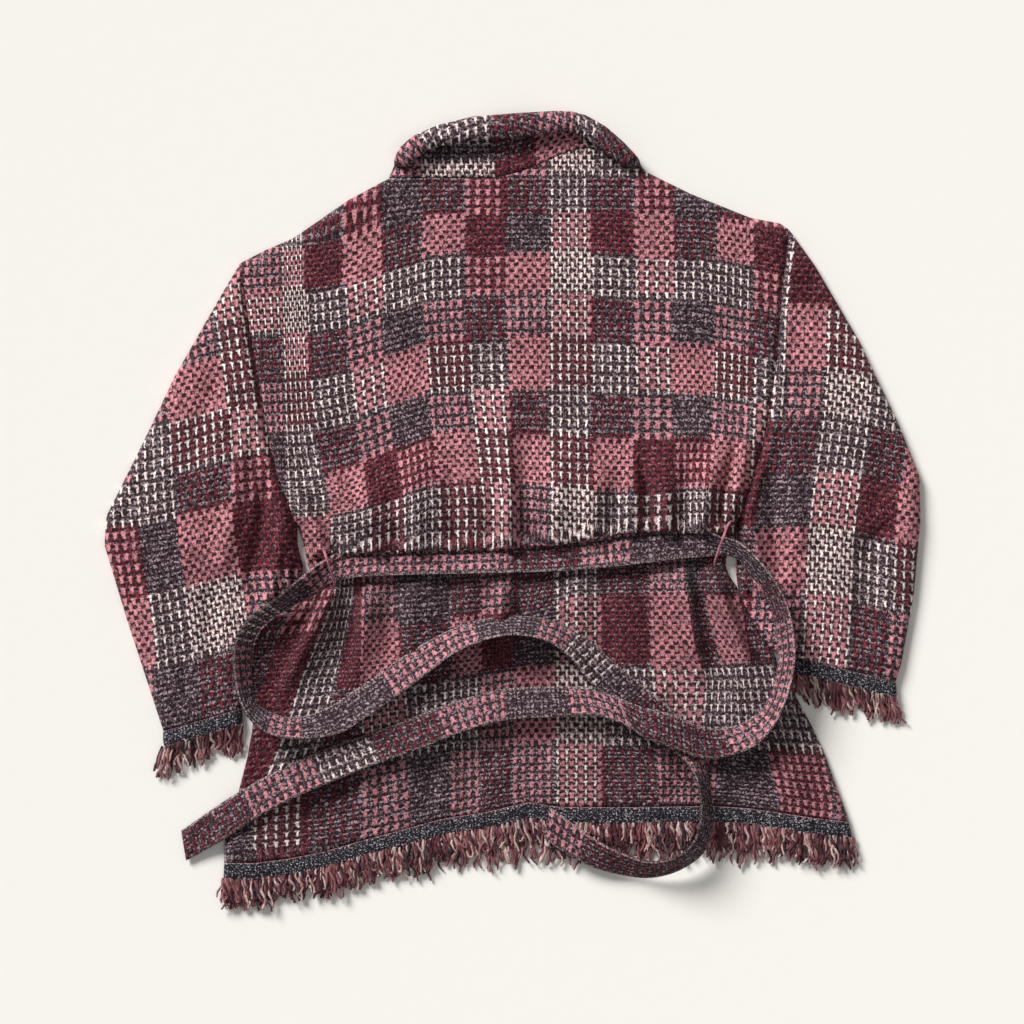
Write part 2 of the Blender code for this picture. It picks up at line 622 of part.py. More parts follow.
def sleeve_ring_plan(side, share, count_top):
    """Plan points of one sleeve ring: over the top from outer to inner edge, then back."""
    outer_rows = SLEEVE_OUTER_RIGHT if side else SLEEVE_OUTER_LEFT
    inner_rows = SLEEVE_INNER_RIGHT if side else SLEEVE_INNER_LEFT
    outer = along(outer_rows, 201)[round(share * 200)]
    inner = along(inner_rows, 201)[round(share * 200)]
    corner = corner_shares()[side]
    arm = plan(ARMHOLE)
    seam_shares = np.array([*arm[:, 0], corner]) / corner
    seam_across = np.array([*arm[:, 2 if side else 1], inner_rows[0][0]])
    chord = seam_across[0] + (seam_across[-1] - seam_across[0]) * seam_shares
    bow = seam_across - chord
    width = np.linalg.norm(inner - outer)
    middle = sorted([0.155, *seam_shares[1:-1], 0.38, 0.66])
    near = min(1.0 / width, 0.115 / EDGE_STEPS[-1])
    over = spread(1.0, middle, [step * near for step in EDGE_STEPS])
    under = np.array([1 - 1.2 / width, 1 - 5 / width, *seam_shares[-2:0:-1], 5 / width, 1.2 / width])
    ring = np.concatenate([over, under])
    points = outer + (inner - outer) * ring[:, None]
    fade = (1 - share) ** 3
    points[:, 0] += np.interp(ring, seam_shares, bow) * fade
    return points, len(over)


def build_sleeve(name, side, parent):
    """One sleeve: a flattened tube from the armhole seam to the cuff line."""
    shares = (0.0, 0.04, 0.11, 0.19, 0.28, 0.37, 0.46, 0.55, 0.64, 0.73, 0.82, 0.91, 1.0)
    rings = []
    for share in shares:
        points, over = sleeve_ring_plan(side, share, 17)
        height = np.concatenate([upper_height(points[:over]), under_height(points[over:])])
        if share == 0.0:
            points = points + (SEAM / 2 if side else -SEAM / 2, 0)
        rings.append(np.column_stack([points, height]))
    grid = np.array(rings)
    normals = tube_normals(grid)
    cuff = CUFF_RIGHT if side else CUFF_LEFT
    seam_way = UNDERARM_RIGHT if side else UNDERARM_LEFT
    top_spot = (789.0, 229.0) if side else (240.0, 263.0)
    normals[0] = ring_normals(grid[0], (seam_way[1] - top_spot[1], top_spot[0] - seam_way[0], 0))
    normals[-1] = ring_normals(grid[-1], (*cuff[2], 0))
    wall(name, grid, normals, TWEED, parent, around=True)
    return grid[-1], normals[-1]


def ring_normals(ring, direction):
    """Outward normals of a closed ring within the plane across a direction."""
    tangent = np.roll(ring, -1, axis=0) - np.roll(ring, 1, axis=0)
    normal = without(np.cross(tangent, np.asarray(direction, dtype=float)), direction)
    outward = ring - ring.mean(axis=0)
    return -normal if np.sum(normal * outward) < 0 else normal


def tube_normals(grid):
    """Normals of a grid whose sections close, pointing away from each section's middle."""
    normals = facing(grid, around=True)
    outward = grid - grid.mean(axis=1, keepdims=True)
    outward[..., :2] *= 0.2
    outward[..., 2] *= 2.0
    flips = np.sum(normals * outward, axis=(0, 1)).sum() < 0
    return -normals if flips else normals


def build_cuff(side_name, ring, normals, cuff, parent, generator):
    """Dark band and fringe that follow a sleeve's end ring."""
    way = np.array([*cuff[2], 0.0])
    band = np.array([ring + way * reach for reach in (SEAM, BAND_WIDTH / 2, BAND_WIDTH)])
    wall("cuff_band_" + side_name, band, np.array([normals] * 3), BAND, parent, around=True)
    fringe_ring(side_name, ring, normals, way, parent, generator)


def resample_ring(ring, normals, count):
    """The same ring with evenly spread points."""
    closed = np.vstack([ring, ring[:1]])
    turned = np.vstack([normals, normals[:1]])
    steps = np.linalg.norm(np.diff(closed, axis=0), axis=1)
    reach = np.concatenate([[0.0], np.cumsum(steps)])
    where = np.linspace(0.0, reach[-1], count, endpoint=False)
    spots = np.stack([np.interp(where, reach, closed[:, k]) for k in range(3)], axis=1)
    ways = np.stack([np.interp(where, reach, turned[:, k]) for k in range(3)], axis=1)
    return spots, ways / np.linalg.norm(ways, axis=1, keepdims=True)


def fringe_ring(side_name, ring, normals, way, parent, generator):
    """Fringe round a cuff: a ring-shaped backing with strands grown from its rim."""
    spots, ways = resample_ring(ring, normals, STRANDS_CUFF * 2)
    spots = spots - 0.3 * ways
    start = BAND_WIDTH + SEAM
    grid = np.array([spots + way * reach for reach in (start, start + BACKING)])
    turned = np.array([ways, ways])
    work = grid_mesh(lay(grid), lay(grid - BACKING_WALL * turned), around=True)
    end = lay(grid[1])
    tips = []
    skirt = SIDE_RIGHT if side_name == "right" else SIDE_LEFT
    for face in rim_faces(work, end, way):
        reach = FRINGE_REACH * generator.uniform(0.72, 1.0)
        tips.append((face, reach))
    grow_strands(work, tips, way, generator, skirt, side_name)
    piece("fringe_cuff_" + side_name, work, YARN, parent)


def rim_faces(work, end, way):
    """Every second face on the open rim of a backing."""
    turned = Vector((way[0], -way[1], way[2])).normalized()
    faces = [face for face in work.faces if face.normal.dot(turned) > 0.75]
    middle = Vector(np.mean(end, axis=0))
    faces.sort(key=lambda face: math.atan2((face.calc_center_median() - middle).z * 4,
                                           (face.calc_center_median() - middle).x))
    return faces[::2]


def grow_strands(work, tips, way, generator, skirt=None, side_name=None):
    """Extrude each root face into one tapered strand that sinks towards the sheet."""
    turned = Vector((way[0], -way[1], way[2])).normalized()
    for face, reach in tips:
        middle = face.calc_center_median()
        target = middle + turned * reach * MM
        target.x += generator.uniform(-0.9, 0.9) * MM
        if skirt is not None:
            target, reach = keep_clear(middle, turned, reach, target, skirt, side_name)
        sink = 0.16 * reach * MM
        half = 0.5 * MM
        target.z = max(target.z - sink, half + 0.4 * MM)
        grown = bmesh.ops.extrude_discrete_faces(work, faces=[face])["faces"][0]
        for vert in grown.verts:
            offset = (vert.co - middle) * STRAND_TIP
            vert.co = target + offset
            vert.co.z = max(vert.co.z, 0.3 * MM)


def keep_clear(middle, turned, reach, target, skirt, side_name):
    """Shorten a strand that would run into the skirt beside the cuff."""
    while reach > 6.0:
        down = LAY_MIDDLE[1] - target.y / MM
        edge = across_at(skirt, down)
        across = target.x / MM + LAY_MIDDLE[0]
        clear = across > edge + 6 if side_name == "right" else across < edge - 6
        if clear:
            break
        reach -= 2.0
        target = middle + turned * reach * MM
    return target, reach


# ---------------------------------------------------------------- hem

def hem_plan(panel, start, side=None):
    """Plan row along a hem, a given distance below the panel's end."""
    def down_at(across):
        return column(HEM, across, panel) + start
    if panel == 1:
        return body_row(down_at)
    centre = CENTRE_FRONT + (SEAM / 2 if side else -SEAM / 2)
    return front_row(side, centre, down_at)


def hem_grid(panel, reaches, side=None):
    """Outer points and normals of a strip along a hem."""
    flat = np.array([hem_plan(panel, reach, side) for reach in reaches])
    if panel == 1:
        height = np.maximum(upper_height(flat), EQUATOR + SEAM_HALF)
    else:
        height = np.minimum(under_height(flat), EQUATOR - SEAM_HALF)
    grid = np.dstack([flat, height])
    normals = facing(grid)
    wrong = normals[..., 2:3] < 0 if panel == 1 else normals[..., 2:3] > 0
    normals = np.where(wrong, -normals, normals)
    normals = without(normals, (0, 1, 0))
    edges = (0, -1) if panel == 1 else (-1,)
    for edge in edges:
        normals[:, edge] = without(normals[:, edge], (0, 0, 1))
    if panel == 2:
        normals[:, 0] = without(normals[:, 0], (1, 0, 0))
    return grid, normals


def build_hem(name, panel, parent, side=None):
    """Dark band along a hem."""
    reaches = (SEAM / 2, BAND_WIDTH / 2, BAND_WIDTH)
    grid, normals = hem_grid(panel, reaches, side)
    wall(name, grid, normals, BAND, parent)


def fringe_hem(name, panel, count, parent, generator, side=None):
    """Fringe below a hem band: a narrow backing with strands grown from its lower rim."""
    grid, normals = hem_grid(panel, (BAND_WIDTH + SEAM, BAND_WIDTH + SEAM + BACKING), side)
    spread_count = 2 * count + 1
    fine_grid = np.array([along(row, spread_count) for row in grid])
    fine_normals = np.array([along(row, spread_count) for row in normals])
    fine_normals /= np.linalg.norm(fine_normals, axis=-1, keepdims=True)
    if panel == 1:
        fine_grid = fine_grid - 0.3 * fine_normals
    work = grid_mesh(lay(fine_grid), lay(fine_grid - BACKING_WALL * fine_normals))
    work.faces.ensure_lookup_table()
    lower = [face for face in work.faces if face.normal.y < -0.7]
    lower.sort(key=lambda face: face.calc_center_median().x)
    tips = [(face, FRINGE_REACH * generator.uniform(0.78, 1.04)) for face in lower[1::2]]
    grow_strands(work, tips, (0.0, 1.0, 0.0), generator)
    piece(name, work, YARN, parent)


# ---------------------------------------------------------------- collar

def collar_stations(back, back_normals, neck, front_left, front_right):
    """Neck seam from centre front round the back to centre front, with its normals."""
    picks = []
    for grid, normals, side in (front_left, front_right):
        top = [index for index, spot in enumerate(grid[0]) if 389.5 < spot[0] < 644.5]
        run = [(grid[0, index], normals[0, index], 0.0) for index in top]
        picks.append(run)
    corner_left = (np.array([389.0, 178.0 + SEAM / 2, EQUATOR]), np.array([-1.0, 0, 0]), 0.5)
    corner_right = (np.array([645.0, 171.0 + SEAM / 2, EQUATOR]), np.array([1.0, 0, 0]), 0.5)
    over = [(back[0, index], back_normals[0, index], 1.0) for index in np.flatnonzero(neck)]
    return picks[0] + [corner_left] + over + [corner_right] + picks[1][::-1]


def build_collar(stations, parent):
    """Collar round the neck: rolled outwards over the back, plain and flat at the front."""
    rows = []
    roll = plan(COLLAR_ROLL)
    for seam, _, backness in stations:
        share = (seam[0] - 389.0) / 256.0
        spots = [np.interp(share, roll[:, 0], roll[:, index]) for index in (1, 2, 3, 4)]
        top, edge = np.array(spots[:2]), np.array(spots[2:])
        corner = np.clip((share - 0.84) / 0.1, 0.0, 1.0)
        base = seam[:2] - (0.0, SEAM + 0.35 + 1.1 * corner)
        rise = top - base
        reach = min(COLLAR_FRONT_HEIGHT / np.linalg.norm(rise), 0.94)
        row = []
        for index, (up, over, lift) in enumerate(COLLAR_SECTION):
            rolled = base + rise * up + (edge - top) * over
            plain = base + rise * reach * index / (len(COLLAR_SECTION) - 1)
            if backness == 1.0:
                clear = 3.0 * max(0.0, (share - 0.86) / 0.14) * min(1, index)
                row.append((*rolled, seam[2] + lift + clear))
            elif backness == 0.0:
                row.append((*plain, seam[2] * max(0.0, 1 - index / 2)))
            else:
                row.append((*(0.6 * rolled + 0.4 * plain), seam[2] + 0.55 * lift))
        rows.append(row)
    grid = np.array(rows)
    normals = facing(grid)
    middle = len(stations) // 2
    if normals[middle, 2, 2] < 0:
        normals = -normals
    for index, (_, seam_normal, backness) in enumerate(stations):
        if backness == 0.5:
            aside = (seam_normal[0], -0.3, 0.25)
            normals[index] = np.array(aside) / np.linalg.norm(aside)
        normals[index, 0] = without(seam_normal, (0, 1, 0))
    normals[0] = without(normals[0], (1, 0, 0))
    normals[-1] = without(normals[-1], (1, 0, 0))
    wall("collar", grid, normals, TWEED, parent, inner_span=(0, 99))


# ---------------------------------------------------------------- belt and loops

BODY_OUTLINE = (tuple(reversed(SHOULDER_LEFT)) + NECK_BACK[1:-1] + SHOULDER_RIGHT
                + SIDE_RIGHT + tuple(reversed(SIDE_LEFT)))
LEFT_OUTLINE = SLEEVE_OUTER_LEFT + tuple(reversed(SLEEVE_INNER_LEFT))
RIGHT_OUTLINE = SLEEVE_OUTER_RIGHT + tuple(reversed(SLEEVE_INNER_RIGHT))
FRINGE_HEIGHT = 6.8


def ground(points):
    """Height of whatever lies at each point of the sheet, the bare sheet being 0."""
    height = np.zeros(points.shape[:-1])
    upper = upper_height(points)
    for outline in (BODY_OUTLINE, LEFT_OUTLINE, RIGHT_OUTLINE):
        height = np.where(inside(points, outline), np.maximum(height, upper), height)
    hem = column(HEM, points[..., 0], 1)
    depth = points[..., 1] - hem
    in_hem = (depth > -5) & (depth < BAND_WIDTH + BACKING + 3)
    in_hem &= (points[..., 0] > 224) & (points[..., 0] < 853)
    height = np.where(in_hem, np.maximum(height, np.minimum(upper, 9.2)), height)
    in_fringe = (depth >= BAND_WIDTH) & (depth < 62) & (points[..., 0] > 216)
    in_fringe &= points[..., 0] < 866
    return np.where(in_fringe, np.maximum(height, FRINGE_HEIGHT), height)


def belt_ground(first, second):
    """Highest ground near each point of the belt's grid."""
    steps = len(first)
    fine = np.linspace(0, steps - 1, 3 * steps - 2)
    edges = [np.stack([np.interp(fine, np.arange(steps), side[:, k]) for k in (0, 1)], axis=1)
             for side in (first, second)]
    shares = np.linspace(-0.06, 1.06, 15)
    heights = np.array([ground(edges[0] + (edges[1] - edges[0]) * share) for share in shares])
    nearby = []
    for share in BELT_ACROSS:
        close = np.abs(shares - share) < 0.18
        band = heights[close].max(axis=0)
        padded = np.concatenate([band[:1], band[:1], band, band[-1:], band[-1:]])
        nearby.append([padded[3 * step:3 * step + 5].max() for step in range(steps)])
    return np.array(nearby)


def build_belt(parent):
    """The loose belt: one strip laid over the jacket, its edges lifted as it turns."""
    rows = smooth_line(plan(BELT), BELT_STEPS)
    first, second = rows[:, 0:2], rows[:, 2:4]
    rest, raised = rows[:, 4], rows[:, 5]
    spots = [first + (second - first) * share for share in BELT_ACROSS]
    under = belt_ground(first, second)
    resting = under[-1] + rest
    heights = []
    for index, share in enumerate(BELT_ACROSS):
        straight = resting + raised * (1 - share)
        heights.append(np.maximum(straight, under[index]) + BELT_CLEAR)
    heights = np.array(heights)
    for _ in range(2):
        blurred = heights.copy()
        blurred[:, 1:-1] = (heights[:, :-2] + 2 * heights[:, 1:-1] + heights[:, 2:]) / 4
        heights = np.maximum(blurred, under + BELT_CLEAR)
    lower = np.array([np.column_stack([spot, height]) for spot, height in zip(spots, heights)])
    lower = lower.transpose(1, 0, 2)
    normals = facing(lower)
    normals = np.where(normals[..., 2:3] > 0, -normals, normals)
    wall("belt", lower, normals, TWEED, parent, thickness=BELT_THICK)


def build_loop(name, rows, parent):
    """A thread loop: a thin round cord bent over the belt from side seam to side seam."""
    path = smooth_line(rows, 14)
    path[:, 2] = np.maximum(path[:, 2], ground(path[:, :2]) + LOOP_THREAD + 0.9)
    sides = 6
    ways = np.gradient(path, axis=0)
    ways /= np.linalg.norm(ways, axis=1, keepdims=True)
    across = np.cross(ways, (1.0, 0.2, 0.0))
    across /= np.linalg.norm(across, axis=1, keepdims=True)
    other = np.cross(ways, across)
    work = bmesh.new()
    previous = None
    for spot, u, v in zip(path, across, other):
        ring = []
        for k in range(sides):
            angle = 2 * math.pi * k / sides
            place = spot + LOOP_THREAD * (math.cos(angle) * u + math.sin(angle) * v)
            ring.append(work.verts.new(Vector(lay(place))))
        edges = [work.edges.new((ring[k], ring[(k + 1) % sides])) for k in range(sides)]
        if previous is None:
            bmesh.ops.contextual_create(work, geom=edges)
        else:
            bmesh.ops.bridge_loops(work, edges=previous + edges)
        previous = edges
    bmesh.ops.contextual_create(work, geom=previous)
    bmesh.ops.recalc_face_normals(work, faces=work.faces[:])
    piece(name, work, THREAD, parent)


# ---------------------------------------------------------------- the jacket

def clear_scene():
    """Take out whatever the file held before."""
    for obj in list(bpy.data.objects):
        bpy.data.objects.remove(obj, do_unlink=True)


def build_jacket():
    """Every piece of the jacket, under one empty at the middle of the laying sheet."""
    clear_scene()
    generator = random.Random(7)
    parent = bpy.data.objects.new("jacket", None)
    bpy.context.scene.collection.objects.link(parent)
    back, back_normals, neck = build_back(parent)
    left = build_front("front_left", 0, parent)
    right = build_front("front_right", 1, parent)
    stations = collar_stations(back, back_normals, neck, (*left, 0), (*right, 1))
    build_collar(stations, parent)
    for side, side_name in enumerate(("left", "right")):
        ring, ring_normals = build_sleeve("sleeve_" + side_name, side, parent)
        cuff = CUFF_RIGHT if side else CUFF_LEFT
        build_cuff(side_name, ring, ring_normals, cuff, parent, generator)
        build_hem("hem_band_front_" + side_name, 2, parent, side)
        fringe_hem("fringe_hem_front_" + side_name, 2, STRANDS_FRONT, parent, generator, side)
    build_hem("hem_band_back", 1, parent)
    fringe_hem("fringe_hem_back", 1, STRANDS_BACK, parent, generator)
    build_belt(parent)
    build_loop("belt_loop_left", LOOP_LEFT, parent)
    build_loop("belt_loop_right", LOOP_RIGHT, parent)


build_jacket()
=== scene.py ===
"""Looks of a chunky checked tweed jacket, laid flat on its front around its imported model.

Tables are in millimetres on the laying sheet: across from its left edge, down from its top
edge, and millimetres of height over the sheet. Pieces are made in metres.
"""

import math
import random

import bmesh
import bpy
import numpy as np
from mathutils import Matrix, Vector, noise


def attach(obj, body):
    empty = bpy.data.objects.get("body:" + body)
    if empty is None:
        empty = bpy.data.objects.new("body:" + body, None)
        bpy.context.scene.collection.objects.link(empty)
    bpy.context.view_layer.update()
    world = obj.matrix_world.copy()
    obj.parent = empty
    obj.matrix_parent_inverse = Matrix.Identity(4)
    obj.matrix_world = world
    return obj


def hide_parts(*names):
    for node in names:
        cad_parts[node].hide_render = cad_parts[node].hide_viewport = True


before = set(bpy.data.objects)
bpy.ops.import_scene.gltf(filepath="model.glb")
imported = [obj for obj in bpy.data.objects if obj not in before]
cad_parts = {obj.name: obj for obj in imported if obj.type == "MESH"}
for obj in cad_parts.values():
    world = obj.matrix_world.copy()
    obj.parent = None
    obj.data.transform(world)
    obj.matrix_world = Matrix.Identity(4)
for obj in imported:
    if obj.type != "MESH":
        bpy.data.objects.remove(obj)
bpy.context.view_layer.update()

# ---------------------------------------------------------------- sizes of the laid jacket

MM = 0.001
LAY_MIDDLE = (514.0, 513.33)     # middle of the laid jacket on the sheet
SHOULDER_POINTS = ((240.0, 263.0), (789.0, 229.0))

WALL = 2.6                       # thickness of the tweed
SEAM = 0.5                       # gap between pieces, measured across or down the sheet
EQUATOR = 4.0                    # height of side seams and folded edges
SEAM_HALF = 0.22                 # half the upright gap between back and front at a side seam
UNDER_ROUND = 5.0                # width of the rounding below an edge
ROUND_MIN, ROUND_MAX = 5.0, 16.0
ROUND_SHARE = 1.2                # rounding width over an edge, as a share of the rise
BAND_WIDTH = 17.0                # hem and cuff bands
BACKING = 4.0                    # strip that the fringe is rooted in
BELT_THICK = 3.0
BELT_CLEAR = 0.9                 # gap between the belt and what it lies on
LOOP_THREAD = 1.3                # radius of a thread belt loop

# Edges of the laid jacket: across, down.
SHOULDER_LEFT = ((389, 178), (348, 200), (293, 238), (265, 250), (240, 263))
SHOULDER_RIGHT = ((645, 171), (692, 194), (752, 218), (780, 223), (789, 229))
SLEEVE_OUTER_LEFT = ((240, 263), (222, 293), (175, 375), (142, 444), (106, 516), (104, 545),
                     (126, 618), (159, 719), (163, 731))
SLEEVE_OUTER_RIGHT = ((789, 229), (815, 265), (859, 340), (898, 422), (920, 477), (921, 520),
                      (914, 596), (902, 662), (896, 682))
SLEEVE_INNER_LEFT = ((297, 524), (297.5, 545), (303, 566), (300, 586), (275, 606), (256.6, 628),
                     (250.4, 655), (246, 690), (241, 708))
SLEEVE_INNER_RIGHT = ((738, 522), (737.5, 545), (736.5, 575), (738.2, 588), (744, 604),
                      (752.2, 622), (762.5, 639), (773.4, 651.5), (790, 655))
SIDE_LEFT = ((297, 524), (301, 535), (304, 546), (306, 557), (308, 566), (313, 577), (307, 588),
             (286, 600), (273.8, 608), (259.6, 624), (253, 641), (250.4, 668), (254, 700),
             (252, 730), (247, 758), (238, 793), (225, 840), (223, 881))
SIDE_RIGHT = ((738, 522), (737, 530), (736, 541), (730, 551), (725.5, 560), (726, 570),
              (732, 580), (737.9, 588), (744, 604), (752.4, 622), (762.9, 639), (774.2, 653),
              (780, 672), (794, 692), (813, 728), (824, 752), (837, 788), (848, 818), (853, 840))
NECK_BACK = ((389, 178), (450, 178), (495, 178), (520, 172), (545, 162), (565, 153), (585, 147),
             (605, 152), (625, 161), (645, 171))
NECK_FRONT = ((389, 178), (412, 200), (440, 222), (478, 240), (516, 246), (555, 240), (592, 218),
              (622, 194), (645, 171))
CENTRE_FRONT = 516.0
NECK_LEFT, NECK_RIGHT, NECK_WIDTH = 389.0, 645.0, 256.0
TOP_BACK = tuple(reversed(SHOULDER_LEFT)) + NECK_BACK[1:-1] + SHOULDER_RIGHT
TOP_FRONT = tuple(reversed(SHOULDER_LEFT)) + NECK_FRONT[1:-1] + SHOULDER_RIGHT

# Pairs of left and right. A side is 0 for the left and 1 for the right.
NAMES = ("left", "right")
SIDES = (SIDE_LEFT, SIDE_RIGHT)
SLEEVE_OUTER = (SLEEVE_OUTER_LEFT, SLEEVE_OUTER_RIGHT)
SLEEVE_INNER = (SLEEVE_INNER_LEFT, SLEEVE_INNER_RIGHT)
CUFF_WAY = ((0.06, 0.998), (0.02, 1.0))     # way from the cuff to the fringe
UNDERARM = ((297.0, 527.0), (738.0, 522.0))

# Armhole seams: share of the way down to the waist row, across on the left and the right.
ARMHOLE = ((0.0, 240, 789), (0.23, 249.5, 781), (0.46, 260.5, 776), (0.71, 275.5, 763))
WAIST_ROW = (552.9, 531.8)       # down the sheet at which the side edges meet the waist row

# Lines along the belt: across, upper edge of the belt, lower edge of the belt.
WAIST = ((300, 565, 582), (337, 558, 578), (366, 557, 575), (428, 555, 573), (500, 553, 572),
         (560, 549, 571), (623, 538, 566), (675, 535, 560), (719, 541, 555), (735, 545, 555))
WAIST_ENDS = (290, 742)          # the belt presses the cloth down between these
WAIST_DROP = 11.0                # distance in which the blouse falls to the belt
WAIST_LOW = 7.8                  # height of the back under the belt
BELT_TOP = 14.6                  # height of the belt's outside at the waist
SKIRT_RISE = 34.0                # distance in which the skirt regains its height

# Hem: across, end of the back panel, end of the front panel.
HEM = ((216, 863, 864), (254, 863, 861), (287, 859, 857), (323, 852, 851), (364, 840, 842),
       (405, 829, 834), (441, 819, 828), (486, 812, 823), (528, 802, 821), (560, 807, 820),
       (637, 807, 820), (714, 806, 819), (747, 808, 819), (782, 813, 820), (815, 818, 821),
       (860, 823, 823))
HEM_ENDS = (224, 853)            # the hem band lies between these,
FRINGE_ENDS = (216, 866)         # and its fringe between these
FRINGE_END = 62                  # the fringe's lowest reach below the back panel
BAND_HEIGHT, FRINGE_HEIGHT = 9.2, 6.8

# General height of the upper cloth: down, height.
HEIGHTS = ((100, 12.0), (264, 12.5), (400, 15.0), (520, 17.0), (600, 13.0), (700, 11.5),
           (760, 10.5), (830, 9.0), (900, 8.6))

# Folds and swellings: from (across, down) to (across, down), half width, height.
FOLDS = (
    (360, 505, 700, 490, 58, 8.5),       # blouse over the belt
    (512, 545, 503, 400, 13, 5.0),       # long soft ridge up the middle
    (486, 545, 478, 430, 10, -2.5),
    (560, 530, 575, 440, 20, 2.0),
    (634, 525, 622, 440, 10, -2.6),
    (664, 520, 655, 470, 9, 3.4),
    (686, 520, 700, 450, 9, -3.4),
    (708, 515, 728, 430, 11, 3.0),
    (335, 540, 300, 470, 10, -3.0),
    (352, 545, 325, 470, 9, 3.0),
    (430, 540, 420, 470, 16, 2.2),
    (345, 300, 520, 318, 16, 1.8),
    (400, 352, 520, 360, 14, -1.5),
    (240, 380, 190, 560, 26, 2.6),       # sleeves
    (165, 420, 130, 520, 16, -2.0),
    (820, 330, 850, 520, 28, 2.6),
    (880, 430, 880, 560, 14, -2.0),
    (283, 520, 262, 590, 12, -2.5),
    (760, 540, 790, 620, 12, -2.5),
    (318, 600, 282, 665, 13, 5.0),       # skirt
    (349, 592, 340, 660, 12, -6.0),
    (376, 596, 352, 690, 15, 3.6),
    (503, 588, 501, 618, 12, 3.0),
    (445, 640, 430, 800, 26, 1.6),
    (540, 650, 560, 800, 24, -1.4),
    (668, 580, 690, 640, 13, 4.4),
    (698, 585, 712, 690, 11, -5.5),
    (722, 600, 752, 690, 12, 4.6),
    (640, 700, 650, 800, 24, 1.6),
    (768, 760, 800, 820, 18, 1.8),
)

# Turned collar: place on the neck seam as a share from left to right, top of the roll
# (across, down), free edge of the turned part (across, down).
COLLAR_ROLL = (
    (0.0, 396, 158, 407, 167), (0.06, 402, 147, 413, 158), (0.12, 413, 137, 424, 149),
    (0.22, 437, 126, 442, 143), (0.35, 473, 117, 474, 138), (0.5, 517, 113.5, 517, 136),
    (0.65, 555, 111.5, 552, 130), (0.73, 571, 112, 570, 129), (0.8, 585, 115.5, 584, 134),
    (0.87, 605, 127, 598, 144), (0.94, 622, 142, 613, 155), (1.0, 639, 160, 628, 167),
)
# Section of the collar from seam to free edge: share of the way up the stand, share of the
# way from the roll to the free edge, height over the seam.
COLLAR_SECTION = ((0.0, 0, 0.0), (0.25, 0, -1.8), (0.52, 0, -4.0), (0.78, 0, -4.6), (0.92, 0, -3.0),
                  (1.0, 0.05, 1.6), (1.0, 0.03, 6.0), (1.0, 0.22, 10.4), (1.0, 0.58, 12.4),
                  (1.0, 0.92, 11.4), (1.0, 1.08, 8.6))
COLLAR_FRONT_REACH = 55.0        # width of the plain front of the collar on the sheet

# Belt, one strip from tail to tail: across and down of its first edge, across and down of
# its second edge, height of the resting edge over what it lies on, rise of the first edge.
BELT = (
    (550, 807, 544, 838, 2, 1), (568, 819, 561, 850, 2, 2), (592, 836, 584, 863, 2, 7),
    (620, 850, 612, 872, 2, 16), (650, 859, 648, 877, 2, 24), (677, 853, 679, 869, 2, 25),
    (692, 838, 704, 850, 1, 24), (698, 815, 712, 822, 1, 25), (697, 791, 710, 796, 1, 24),
    (690, 770, 706, 772, 1, 20), (676, 754, 698, 740, 0, 8), (648, 731, 670, 708, 0, 2),
    (616, 705, 641, 684, 0, 3), (588, 681, 612, 661, 0, 11), (573, 662, 594, 645, 0, 19),
    (557, 648, 570, 629, 0, 24), (541, 640, 548, 621, 0, 26), (518, 636, 520, 617, 0, 27),
    (496, 638, 492, 619, 0, 27), (474, 645, 466, 625, 0, 26), (452, 656, 440, 636, 0, 24),
    (428, 674, 413, 651, 0, 19), (397, 697, 380, 674, 0, 16), (369, 716, 354, 691, 0, 15),
    (339, 734, 328, 708, 0, 15), (302, 739, 301, 718, 0, 22), (272, 735, 277, 716, 0, 26),
    (250, 719, 257, 705, 0, 28), (237, 694, 252.5, 689, 0, 27), (233, 660, 250, 660, 0, 27),
    (237, 634, 253, 638, 0, 26), (254, 613, 267, 620, 0, 26), (281, 593, 294, 604, 0, 25),
    (303, 574, 318, 592, 0, 17), (322, 560, 328, 582, 0, 12),
    (340, 559, 342, 580, 0, 2), (366, 558, 366, 577, 0, 0), (428, 556, 428, 575, 0, 0),
    (500, 553, 500, 573.5, 0, 0), (560, 549, 561, 571.5, 0, 0), (623, 538, 625, 566, 0, 0),
    (675, 535, 677, 559.5, 0, 0), (702, 535.5, 703, 557.5, 0, 1),
    (722, 535, 722, 555, 0, 6), (740, 541, 737, 558, 0, 16), (757, 556, 747, 570, 0, 23),
    (774, 577, 762, 588, 0, 26), (787, 602, 773, 612, 0, 26), (794, 632, 778, 639, 0, 27),
    (795, 662, 779, 665, 0, 27), (788, 695, 772, 692, 0, 27), (775, 724, 761, 712, 0, 26),
    (757, 744, 742, 724, 1, 20), (733, 755, 718, 729, 4, 10), (703, 758, 698, 726, 12, 4),
    (672, 747, 672, 714, 16, 0), (645, 738, 641, 706, 13, 3), (622, 724, 612, 695, 8, 9),
    (592, 715, 585, 688, 3, 14), (553, 717, 550, 687, 1, 13), (508, 720, 507, 689, 1, 12),
    (483, 726, 475, 696, 1, 12), (452, 736, 441, 707, 1, 12), (417, 750, 405, 721, 1, 12),
    (382, 762, 369, 734, 1, 12), (337, 780, 325, 749, 1, 8), (297, 797, 283, 768, 1, 8),
    (257, 818, 244, 789, 1, 6), (222, 841, 210, 811, 2, 3), (186, 861, 181, 831, 1, 1),
)

# Thread loops over the belt: across, down, height.
LOOP_LEFT = ((323.5, 548, 14), (325, 552, 23), (328, 561, 29), (331.5, 571, 25), (334, 580, 19),
             (335, 586, 12.5))
LOOP_RIGHT = ((731, 520, 13), (727, 526, 22), (723, 536, 30), (719, 547, 27), (716, 557, 20),
              (714.5, 563, 13))


# ---------------------------------------------------------------- plan geometry

def plan(rows):
    """Table rows as an array of numbers."""
    return np.array(rows, dtype=float)


